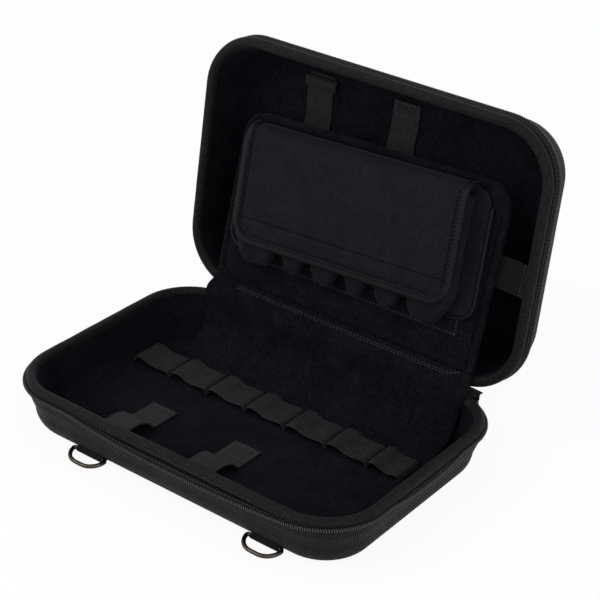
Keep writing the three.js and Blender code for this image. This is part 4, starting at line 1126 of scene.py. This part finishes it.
a, b = np.array((STRAP_TURN, LID_BACK)), np.array((STRAP_TURN - STRAP_PULL, LID_BACK))
c, d = behind_panel(STRAP_LANDING + STRAP_PULL), behind_panel(STRAP_LANDING)
swing = [
    (1 - t) ** 3 * a + 3 * (1 - t) ** 2 * t * b + 3 * (1 - t) * t * t * c + t**3 * d
    for t in np.linspace(0, 1, 40)
]
for side, left, top, seed in (("left", -86, 14.5, 17), ("right", -4.5, 16, 20)):
    line = [(RIM_DEPTH - top, LID_BACK), *swing, behind_panel(STRAP_LANDING - STRAP_TAIL)]
    at = web(
        f"panel_webbing_{side}", "lid", webbing, f"panel_strap_{side}", ON_LID, even(line, 1.2),
        strap_sway(left, seed, 2.2), lambda y, into, x: (x, -y, into), strap_twist(seed, 0.9),
    )
strap_rows["lid"].append([ON_LID @ Vector(p) for p in box_stitch(at, 0.015, 0.12)])

KEEPER_WIDTH, KEEPER_THICK, KEEPER_PUFF = 30, 1.4, 1.8
keeper_near = LID_DEEP - 2 * CLEAR - WEBBING_THICK - KEEPER_THICK / 2
keeper_left = -86 + (WEBBING_WIDTH - KEEPER_WIDTH) / 2
strip(
    "keeper_webbing", ("lid", webbing, "woven_webbing", ["strap_keeper"], ON_LID),
    even([(keeper_left, keeper_near), (keeper_left + KEEPER_WIDTH, keeper_near)], 1.2),
    KEEPER_THICK, (RIM_DEPTH - 27, RIM_DEPTH - 17), lambda x, into, y: (x, -y, into), 16,
    lambda u, v: -KEEPER_PUFF / 2 * (1 - v * v) + 0.25 * wander(u * 30, v * 9, 8, 23),
    lambda u, v: 1 + KEEPER_PUFF / KEEPER_THICK * (1 - v * v), 1.2,
)

SIDE_STRAP_UP, SIDE_DROP = 82.5, -2.4
side_span = (SIDE_STRAP_UP - WEBBING_WIDTH / 2, SIDE_STRAP_UP + WEBBING_WIDTH / 2)
SIDE_INNER, SIDE_END = PANEL_HALF - 25, PANEL_HALF + 2
side_behind = -PANEL_THICK - CLEAR - WEBBING_THICK / 2
side_wall = RIM_LENGTH / 2 + WALL_PROUD - LINED - CLEAR
side_line = smooth_line([
    *((x, side_behind) for x in (SIDE_INNER, (SIDE_INNER + SIDE_END) / 2, SIDE_END)),
    ((SIDE_END + side_wall) / 2, (side_behind + SIDE_DROP) / 2), (side_wall, SIDE_DROP),
], 1.0)
# The side strap wears the darker webbing, painted shade for the lid wall's shadow.
at = web(
    "side_webbing", "lid", painted_shade_webbing, "side_strap", ON_PANEL, side_line, side_span,
    in_front_view, strap_twist(26, 0.6),
)
for u in (0.9, 0.95):
    line = [at(u, v, STITCH_PROUD) for v in np.linspace(-0.88, 0.88, 14)]
    strap_rows["lid"].append([ON_PANEL @ Vector(p) for p in line])
for body, paths in strap_rows.items():
    row(f"{body}_strap_stitches", paths, STRAP_PITCH, stitch, body, strap_thread, "woven_webbing")

# %% [markdown]
# ## Rings and their tabs
# Each ring is a bent wire with a straight bar, lying forward on whatever the case stands on. Its
# tab is one length of webbing folded round the bar and sewn into a recess under the front edge.
# The cord tree bends the wire, because a round section needs no modelling of its own.

# %% Rings
RING_WIRE, RING_WIDTH, RING_REACH = 1.6, 31, 13
RING_FRONT_ROUND, RING_BAR_ROUND = 12.6, 2.2
RING_BAR_Y, RING_BAR_Z = -(RIM_DEPTH / 2 - 6.2), 3.2
RING_TIP = math.asin((RING_BAR_Z - RING_WIRE) / RING_REACH)
TAB_THICK, TAB_GAP, TAB_LAYER_GAP, TAB_LOW, TAB_LENGTH, TAB_LEAD = 0.7, 0.1, 0.3, 0.6, 36.3, 3
tab_wrap = RING_WIRE + TAB_GAP + TAB_THICK / 2
tab_upper = TAB_LOW + TAB_THICK + TAB_LAYER_GAP
tab_line = [(TAB_LENGTH, TAB_LOW), (TAB_LEAD, TAB_LOW)]
for angle in np.linspace(-math.pi / 2, -math.tau + math.radians(-18), 33):
    tab_line.append((tab_wrap * math.cos(angle), RING_BAR_Z + tab_wrap * math.sin(angle)))
tab_line += [(tab_wrap + TAB_LEAD / 2, tab_upper), (TAB_LENGTH, tab_upper)]
half = RING_WIDTH / 2
ring_corners = [
    (-half, -RING_REACH, RING_FRONT_ROUND), (half, -RING_REACH, RING_FRONT_ROUND),
    (half, 0, RING_BAR_ROUND), (-half, 0, RING_BAR_ROUND),
]
for side, x in (("left", -77), ("right", 90)):
    path = [(p.x, p.y, 0) for p in rounded_outline(ring_corners, 0, 16)]
    place = Matrix.Translation((x, RING_BAR_Y, RING_BAR_Z)) @ Matrix.Rotation(RING_TIP, 4, "X")
    cord(
        f"ring_wire_{side}", path, RING_WIRE, ROLL_SIDES, f"ring_{side}", plated_steel,
        "dark_plated_steel", [f"d_ring_{side}"], place, True,
    )
    # The tab wears the darker webbing, painted shade for the case's shadow over it.
    strip(
        f"ring_tab_webbing_{side}",
        ("base", painted_shade_webbing, "woven_webbing", [f"d_ring_tab_{side}"]),
        even([(RING_BAR_Y + y, z) for y, z in tab_line], 0.7), TAB_THICK,
        (x - WEBBING_WIDTH / 2, x + WEBBING_WIDTH / 2), in_side_view, 12,
    )

# %% [markdown]
# ## Organiser panel
# The panel is a foam board in velour, with a soft edge and a sewn channel just inside it. Its
# lower part is slack, so a few shallow rolls cross it above the foot. It is a ribbon in side
# view, whose width closes in at the rounded top and whose top runs a little higher on the right.

# %% Organiser panel
PANEL_TOP_ROUND, CHANNEL_IN, CHANNEL_WIDE = 21, 6.5, 1.9
CHANNEL_DEEP, FOOT_ROLL_PITCH, FOOT_ROLL_HIGH = 0.42, 9, 0.45


def panel_half(u):
    wide = rounded_half(PANEL_HALF, PANEL_TOP_ROUND, (1 - u) * PANEL_TOP["left"])
    return (-wide, wide)


def panel_place(upward, out, x):
    slope = 1 + (PANEL_TOP["right"] / PANEL_TOP["left"] - 1) * (x + PANEL_HALF) / (2 * PANEL_HALF)
    return (x, upward * slope, out)


def panel_plump(u, v):
    """Full thickness, apart from the sewn channel."""
    inside = min(panel_half(u)[1] * (1 - abs(v)), (1 - u) * PANEL_TOP["left"])
    return 1 - CHANNEL_DEEP * bump(inside, CHANNEL_IN, CHANNEL_WIDE)


def panel_lift(u, v):
    """Shallow rolls above the foot, and a slow unevenness all over."""
    phase = u * PANEL_TOP["left"] * math.tau / FOOT_ROLL_PITCH + 1.3 * wander(v * 60, 0, 40, 31)
    rolls = FOOT_ROLL_HIGH * math.sin(phase) * bump(u, 0, 0.17) * smooth_step(u, 0, 0.04)
    return rolls + 0.25 * wander(u * 140, v * 125, 26, 33)


organiser, on_panel = strip(
    "organiser_velour_panel", ("lid", velour, "brushed_velour", ["organiser_panel"], ON_PANEL),
    even([(0, -PANEL_THICK / 2), (PANEL_TOP["left"], -PANEL_THICK / 2)], 1.4), PANEL_THICK,
    panel_half, panel_place, 150, panel_lift, panel_plump, PANEL_THICK / 2,
)
print("panel is", round(2 * PANEL_HALF), "mm wide and", PANEL_TOP, "mm high")

# %% [markdown]
# ## Flat layers of the pouch
# Between panel and pockets lie a hook patch sewn to the panel, the loop tape that grips it, and
# the pouch's back. They are thin ribbons with flat ends, a few tenths of a millimetre apart.

# %% Flat layers
PATCH = {"left": 21 - PANEL_HALF, "right": PANEL_HALF - 19, "foot": (22, 24), "thick": 0.7}
PATCH_TOP = PANEL_TOP["left"] - 12
BACK_HALF = PANEL_HALF - 11.5
BACK_FOOT, BACK_TOP, BACK_ROUND, BACK_THICK = -54, 46.3, 13, 1.5
TAPE_HALF, TAPE_SPAN, LOOP_TAPE_THICK = BACK_HALF - 17.5, (-44, 34), 0.6
tape_at = CLEAR + PATCH["thick"] + CLEAR
back_at = tape_at + LOOP_TAPE_THICK + CLEAR
pocket_at = back_at + BACK_THICK + CLEAR


def patch_place(share_up, out, x):
    share = (x - PATCH["left"]) / (PATCH["right"] - PATCH["left"])
    foot_here = PATCH["foot"][0] + (PATCH["foot"][1] - PATCH["foot"][0]) * share
    return (x, foot_here + share_up * (PATCH_TOP - foot_here), out)


def back_half(u):
    height = u * (BACK_TOP - BACK_FOOT)
    wide = rounded_half(BACK_HALF, BACK_ROUND, min(height, BACK_TOP - BACK_FOOT - height))
    return (-wide, wide)


def flat_strip(name, wear, low, high, from_out, thick, span):
    """A flat strip of the pouch between two heights, at a distance out of the panel's face."""
    middle = from_out + thick / 2
    strip(name, wear, even([(low, middle), (high, middle)], 2), thick, span, in_side_view, 40)


_, on_patch = strip(
    "hook_patch_field", ("lid", hook_field, "hook_tape", ["pouch_hook_patch"], ON_PANEL),
    [(s, CLEAR + PATCH["thick"] / 2) for s in np.linspace(0, 1, 50)], PATCH["thick"],
    (PATCH["left"], PATCH["right"]), patch_place, 40,
)
flat_strip(
    "loop_tape_field", ("pouch", hook_field, "hook_tape", ["pouch_loop_tape"], ON_POUCH),
    *TAPE_SPAN, tape_at, LOOP_TAPE_THICK, (-TAPE_HALF, TAPE_HALF),
)
flat_strip(
    "pouch_back_laminate", ("pouch", pouch_knit, "stretch_laminate", ["pouch_back"], ON_POUCH),
    BACK_FOOT, BACK_TOP, back_at, BACK_THICK, back_half,
)

# %% [markdown]
# ## Piping
# The sides and foot of the pouch's back are bound in a rolled satin tape. It is a round section
# along the edge, which the cord tree makes.

# %% Piping
PIPING_RADIUS, PIPING_TOP, PIPING_LEAD = 1.5, 33, 2
FOOT_CORNER_STEPS, FOOT_RUN_STEPS = 12, 30
back_corners = [
    (-BACK_HALF, BACK_FOOT, BACK_ROUND), (BACK_HALF, BACK_FOOT, BACK_ROUND),
    (BACK_HALF, BACK_TOP, BACK_ROUND), (-BACK_HALF, BACK_TOP, BACK_ROUND),
]
outset = CLEAR + PIPING_RADIUS
edge = rounded_outline(back_corners, -outset, FOOT_CORNER_STEPS, FOOT_RUN_STEPS)
edge = [(p.x, p.y) for p in edge[: 2 * (FOOT_CORNER_STEPS + 1) + FOOT_RUN_STEPS - 1]]
wide, heights = BACK_HALF + outset, np.linspace(PIPING_TOP, edge[0][1] + PIPING_LEAD, 14)
path = [(-wide, y) for y in heights] + edge + [(wide, y) for y in heights[::-1]]
cord(
    "pouch_piping", [(x, y, back_at + BACK_THICK / 2) for x, y in path], PIPING_RADIUS,
    PIPING_SIDES, "pouch", edging, "edging_tape", ["pouch_binding"], ON_POUCH,
)

# %% [markdown]
# ## Pockets
# Six tubes of laminate stand side by side, open at the top, each with a pinched foot like a
# fingertip. Their widths differ, as hand-set seams do. A skin over rounded rings follows the
# outside up and the inside down again, so each is one closed wall with a real mouth.

# %% Pockets
POCKET_DIVIDERS = [
    share * BACK_HALF for share in (-0.89, -0.5286, -0.2819, 0.0088, 0.2467, 0.5198, 0.8678)
]
POCKET_GAP, POCKET_FOOT, POCKET_TOP, POCKET_FRONT = 0.4, -63, 38.6, 18
POCKET_WALL, POCKET_ROUND, POCKET_FLARE = 1.6, 5.5, 8
TIP_RISE, TIP_PINCH, TIP_SQUEEZE, TIP_UNEVEN = 24, 12, 5.6, 0.9
TIP_BLUNT, SIDE_FOLD = 0.52, 3.2
TIP_STEPS, BODY_STEPS, POCKET_CORNER_STEPS, POCKET_RUN_STEPS = 16, 16, 8, 12


def pocket_ring(left, right, flare_left, flare_right, pinch, squeeze, upward, seed):
    """One level of a pocket, with its corners drawn in unevenly and its sides folded."""
    near, far = pocket_at + squeeze, POCKET_FRONT - squeeze
    middle, half = (left + right) / 2, (right - left) / 2
    round_size = min(POCKET_ROUND, (far - near) / 2)
    uneven = 1 + TIP_UNEVEN * wander(seed, 0, 1.3, 51)
    room = half - round_size - 1
    left, right = left + min(room, pinch * uneven), right - min(room, pinch * (2 - uneven))
    corners = [
        (left - flare_left, near, round_size), (right + flare_right, near, round_size),
        (right, far, round_size), (left, far, round_size),
    ]
    slack = 0.4 + 1.6 * smooth_step(-upward, 25, 50)
    ring = []
    for p in rounded_outline(corners, 0, POCKET_CORNER_STEPS, POCKET_RUN_STEPS):
        aside = max(-1, min(1, (p.x - middle) / half))
        fold = SIDE_FOLD * abs(aside) ** 8 * abs(wander(p.y, upward / 6, 3.5, seed + 60))
        sag = slack * abs(wander(p.x, upward, 7, seed))
        ring.append((p.x - math.copysign(fold, aside), upward, p.y - sag))
    return ring


def pocket_wall(body, wall, seed):
    """Rings of one side of a pocket's wall, from its drawn-in tip up to its mouth."""
    rings = []
    for rise in (np.linspace(0, 1, TIP_STEPS + 1) ** 1.5).tolist():
        closing = 1 - rise**TIP_BLUNT
        drawn_in = [wall + (most - wall) * closing for most in (TIP_PINCH, TIP_SQUEEZE)]
        upward = POCKET_FOOT + TIP_RISE - (TIP_RISE - wall) * (1 - rise)
        rings.append(pocket_ring(*body, *drawn_in, upward, seed))
    for upward in np.linspace(POCKET_FOOT + TIP_RISE, POCKET_TOP, BODY_STEPS)[1:]:
        rings.append(pocket_ring(*body, wall, wall, upward, seed))
    return rings


last_pocket = len(POCKET_DIVIDERS) - 1
for number, (left, right) in enumerate(zip(POCKET_DIVIDERS, POCKET_DIVIDERS[1:]), 1):
    body = (
        left + POCKET_GAP / 2, right - POCKET_GAP / 2,
        POCKET_FLARE if number == 1 else 0, POCKET_FLARE if number == last_pocket else 0,
    )
    rings = pocket_wall(body, POCKET_WALL, number) + pocket_wall(body, 0, number)[::-1]
    dress(
        f"pocket_laminate_{number}", skin(rings), "pouch", pouch_knit, "stretch_laminate",
        [f"pouch_pocket_{number}"], ON_POUCH,
    )

# %% [markdown]
# ## Flap
# The flap folds over the pockets and hangs down their front, with its two lower corners rounded.
# A strip of hook tape is sewn inside it, which shows outside as one row of stitches, and folded
# tape binds its edge. The flap is a ribbon again, and the tape is a rounded channel carried
# along stations of the flap's edge.

# %% Flap
FLAP_HALF = BACK_HALF - 12
FLAP_ROW_UP, FLAP_ROW_IN, PRESS_WIDE, PRESS_DEEP = 19.5, 6.4, 1.2, 0.5
FLAP_THICK, FLAP_CORNER, FLAP_FOOT = 1.8, 18, -45.5
FLAP_FOLD_LINE = [(47.4, 2.9), (48.3, 6.5), (47.9, 11.5), (45.6, 16), (41.2, 19.4), (35, 20.4)]
FLAP_FRONT = FLAP_FOLD_LINE[-1][1]
fold = smooth_line(FLAP_FOLD_LINE, 0.9)[::-1]
flap_line = np.array([*even([(FLAP_FOOT, FLAP_FRONT), (fold[0][0], FLAP_FRONT)], 0.9)[:-1], *fold])
flap_run = float(run_along(flap_line)[-1])


def flap_half_at(height):
    return rounded_half(FLAP_HALF, FLAP_CORNER, height)


def flap_span(u):
    wide = flap_half_at(u * flap_run)
    return (-wide, wide)


def flap_lift(u, v):
    """The front is a little hollow between its stiff edges, with a soft press mark."""
    inner = (1 - v * v) * math.sin(math.pi * min(1, u * 1.25)) if u < 0.8 else 0
    height = u * flap_run
    from_edge = min(height, flap_half_at(height) * (1 - abs(v)))
    pulled = bump(height, FLAP_ROW_UP, PRESS_WIDE) + bump(from_edge, FLAP_ROW_IN, PRESS_WIDE)
    hollow = inner * (0.5 + 0.7 * wander(u * 110, v * 100, 30, 41))
    return hollow - PRESS_DEEP * min(1, pulled)


flap, on_flap = strip(
    "flap_laminate", ("flap", pouch_knit, "stretch_laminate", ["pouch_flap"], ON_POUCH),
    flap_line, FLAP_THICK, flap_span, in_side_view, 150, flap_lift,
)

HOOK_HALF, HOOK_SPAN, HOOK_THICK = FLAP_HALF - 11.5, (-38, -18), 0.9
flat_strip(
    "flap_hook_field", ("flap", hook_field, "hook_tape", ["flap_hook_tape"], ON_POUCH),
    *HOOK_SPAN, FLAP_FRONT - FLAP_THICK / 2 - CLEAR - HOOK_THICK, HOOK_THICK,
    (-HOOK_HALF, HOOK_HALF),
)

# %% Flap edging
EDGING_COVER, EDGING_WALL, EDGING_START, EDGING_LIP = 4.5, 0.8, 2.4, 0.1
EDGING_ROW = (-3.5, 2.0)
inner_half = FLAP_THICK / 2 + CLEAR
outer_half = inner_half + EDGING_WALL
round_end = [
    (EDGING_LIP + (EDGING_WALL + CLEAR) * math.cos(a), outer_half * math.sin(a))
    for a in np.linspace(-math.pi / 2, math.pi / 2, 9)
]
upper = [(-EDGING_COVER / 2, outer_half * 1.02), (-EDGING_COVER, outer_half * 0.92)]
upper += [(-EDGING_COVER, inner_half), (CLEAR - EDGING_LIP, inner_half)]
lower = [(out, -off) for out, off in upper]
channel = [lower[1], lower[0], *round_end, *upper, lower[3], lower[2]]


def flap_edge(hand):
    """Stations along one side of the flap, from the middle of its foot to the fold's end."""
    stations = []
    for a in np.linspace(0, math.pi / 2, 13):
        height = FLAP_CORNER * (1 - math.cos(a))
        stations.append((
            Vector((hand * flap_half_at(height), FLAP_FOOT + height, FLAP_FRONT)),
            Vector((hand * math.sin(a), -math.cos(a), 0)), Vector((0, 0, 1)),
        ))
    rise = np.linspace(FLAP_FOOT + FLAP_CORNER, fold[0][0], 30, endpoint=False)[1:]
    line = [(upward, FLAP_FRONT) for upward in rise]
    line += [tuple(p) for p in fold if p[1] > FLAP_FOLD_LINE[0][1] + EDGING_START]
    for before, here, after in zip([line[0], *line], line, [*line[1:], line[-1]]):
        stations.append((
            Vector((hand * FLAP_HALF, *here)), Vector((hand, 0, 0)),
            Vector((0, before[1] - after[1], after[0] - before[0])).normalized(),
        ))
    return stations


middle_foot = [
    (Vector((x, FLAP_FOOT, FLAP_FRONT)), Vector((0, -1, 0)), Vector((0, 0, 1)))
    for x in np.linspace(FLAP_CORNER - FLAP_HALF, FLAP_HALF - FLAP_CORNER, 40)[1:-1]
]
edge_stations = flap_edge(-1)[::-1] + middle_foot + flap_edge(1)
rings, cloth_map = [], []
for (at, out, side), travelled in zip(edge_stations, run_along([s[0] for s in edge_stations])):
    rings.append([tuple(at + a * out + b * side) for a, b in channel])
    cloth_map += [(travelled * MM, b * MM) for _, b in channel]
dress(
    "flap_edging_tape", skin(rings, cloth_map), "flap", edging, "edging_tape", ["flap_binding"],
    ON_POUCH, 60,
)

# %% [markdown]
# ## Stitches on panel, patch and flap
# The channel inside the panel's edge, the hook patch, and the flap's strip and folded tape are
# all sewn through. Each row lies on the surface that it was sewn to.

# %% Stitch rows
PANEL_PROUD, PATCH_PROUD, FLAP_PROUD = 1.15, 1.3, 1.2


def panel_front(x, upward):
    """A place just proud of the panel's front face, from its own x and height."""
    slope = panel_place(1, 0, x)[1]
    u = upward / slope / PANEL_TOP["left"]
    return on_panel(u, x / panel_half(u)[1], PANEL_PROUD)


seam_x, top_x = PANEL_HALF - CHANNEL_IN, PANEL_HALF - 24
panel_rows = [
    [panel_front(x, PANEL_TOP["left"] * 0.03 + 110 * s) for s in np.linspace(0, 1, 60)]
    for x in (-seam_x, seam_x)
]
panel_rows.append([
    panel_front(x, panel_place(PANEL_TOP["left"], 0, x)[1] - CHANNEL_IN)
    for x in np.linspace(-top_x, top_x, 80)
])
PATCH_IN = 2.2
side_v = 1 - 2 * PATCH_IN / (PATCH["right"] - PATCH["left"])
foot_u = PATCH_IN / (PATCH_TOP - PATCH["foot"][0])
lines = [[(foot_u, v) for v in np.linspace(-side_v, side_v, 80)]]
lines += [[(u, v) for u in np.linspace(foot_u, 1 - foot_u, 60)] for v in (-side_v, side_v)]
patch_rows = [[on_patch(u, v, PATCH_PROUD) for u, v in line] for line in lines]
inner_v = 1 - FLAP_ROW_IN / FLAP_HALF
lines = [[(FLAP_ROW_UP / flap_run, v) for v in np.linspace(-0.95, 0.95, 90)]]
lines += [[(u, v) for u in np.linspace(0.14, 0.82, 60)] for v in (-inner_v, inner_v)]
lines.append([(FLAP_ROW_IN / flap_run, v) for v in np.linspace(-0.86, 0.86, 80)])
flap_rows = [[on_flap(u, v, FLAP_PROUD) for u, v in line] for line in lines]
row_out, row_off = EDGING_ROW
flap_rows.append([at + row_out * out + row_off * side for at, out, side in edge_stations])
for name, rows, body, spun, slot, place in (
    ("panel", panel_rows, "lid", dark_thread, "brushed_velour", ON_PANEL),
    ("patch", patch_rows, "lid", thread, "hook_tape", ON_PANEL),
    ("flap", flap_rows, "flap", dark_thread, "stretch_laminate", ON_POUCH),
):
    row(f"{name}_stitches", rows, STITCH_PITCH, stitch, body, spun, slot, (), place)
for shape in (stitch, element):
    bpy.data.objects.remove(shape)

# %% [markdown]
# ## Metal kept as packed
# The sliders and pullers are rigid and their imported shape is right, so they only get their
# finish. Their meshes are left alone.

# %% Kept nodes
for name in ("zip_slider_right", "zip_slider_left", "zip_puller_right", "zip_puller_left"):
    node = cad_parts[name]
    node.data.materials.clear()
    node.data.materials.append(plated_steel)

# %% [markdown]
# ## Floor, light and background
# A pale floor catches a soft shadow. The world lights from all round, and two broad lamps give
# the cloth its modelling: the stronger one from the front left and a fill from the front right.
# The camera, glossy and transmission rays see plain white.

# %% Stage
FLOOR_REACH, FLOOR_WHITE, WORLD_LIGHT = 6.0, 0.92, 0.7
WHITE = (1, 1, 1, 1)
square = [(x * FLOOR_REACH, y * FLOOR_REACH, 0) for x, y in ((-1, -1), (1, -1), (1, 1), (-1, 1))]
floor = new_object("floor", new_mesh("floor", square, [], [(0, 1, 2, 3)]))
floor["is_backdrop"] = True
floor_paint, tree, shader = open_material(
    "pale_floor", Roughness=0.9, Specular_IOR_Level=0.1, Base_Color=colour("fafafa")
)
seen_white = add(tree, "ShaderNodeEmission", {"Color": WHITE, "Strength": 1.0})
rays = add(tree, "ShaderNodeLightPath").outputs
share = add(
    tree, "ShaderNodeMath", {1: FLOOR_WHITE}, {0: rays["Is Camera Ray"]}, operation="MULTIPLY"
)
floor_look = add(
    tree, "ShaderNodeMixShader",
    links={0: share.outputs[0], 1: shader.outputs["BSDF"], 2: seen_white.outputs[0]},
)
tree.links.new(floor_look.outputs[0], tree.nodes["Material Output"].inputs["Surface"])
floor.data.materials.append(floor_paint)

world = bpy.data.worlds.new("studio")
bpy.context.scene.world = world
world.use_nodes = True
tree = world.node_tree
tree.nodes.clear()
rays = add(tree, "ShaderNodeLightPath").outputs
seen = rays["Is Camera Ray"]
for kind in ("Is Glossy Ray", "Is Transmission Ray"):
    either = add(tree, "ShaderNodeMath", links={0: seen, 1: rays[kind]}, operation="MAXIMUM")
    seen = either.outputs[0]
around = add(tree, "ShaderNodeBackground", {"Color": WHITE, "Strength": WORLD_LIGHT})
plain = add(tree, "ShaderNodeBackground", {"Color": WHITE, "Strength": 1.0})
world_look = add(
    tree, "ShaderNodeMixShader", links={0: seen, 1: around.outputs[0], 2: plain.outputs[0]}
)
add(tree, "ShaderNodeOutputWorld", links={"Surface": world_look.outputs[0]})


def lamp(name, place, size, watts):
    """A broad soft lamp that faces the case."""
    data = bpy.data.lights.new(name, "AREA")
    data.size, data.energy = size, watts
    light = new_object(name, data)
    light.location = place
    light.rotation_mode = "QUATERNION"
    light.rotation_quaternion = (Vector(LAMP_AIM) - Vector(place)).to_track_quat("-Z", "Y")


LAMP_AIM = (0, 0.05, 0.1)
lamp("key", (-1.1, -1.35, 1.45), 1.2, 14)
lamp("fill", (1.5, -0.9, 1.0), 1.4, 10)
bpy.context.scene.view_settings.view_transform = "Standard"

# %% Finish
low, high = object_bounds()
sizes = {
    "cad": [list(cad_box[0]), list(cad_box[1])],
    "visual": [list(low), list(high)],
}
print("visual box", [round(x, 4) for x in (*low, *high)])
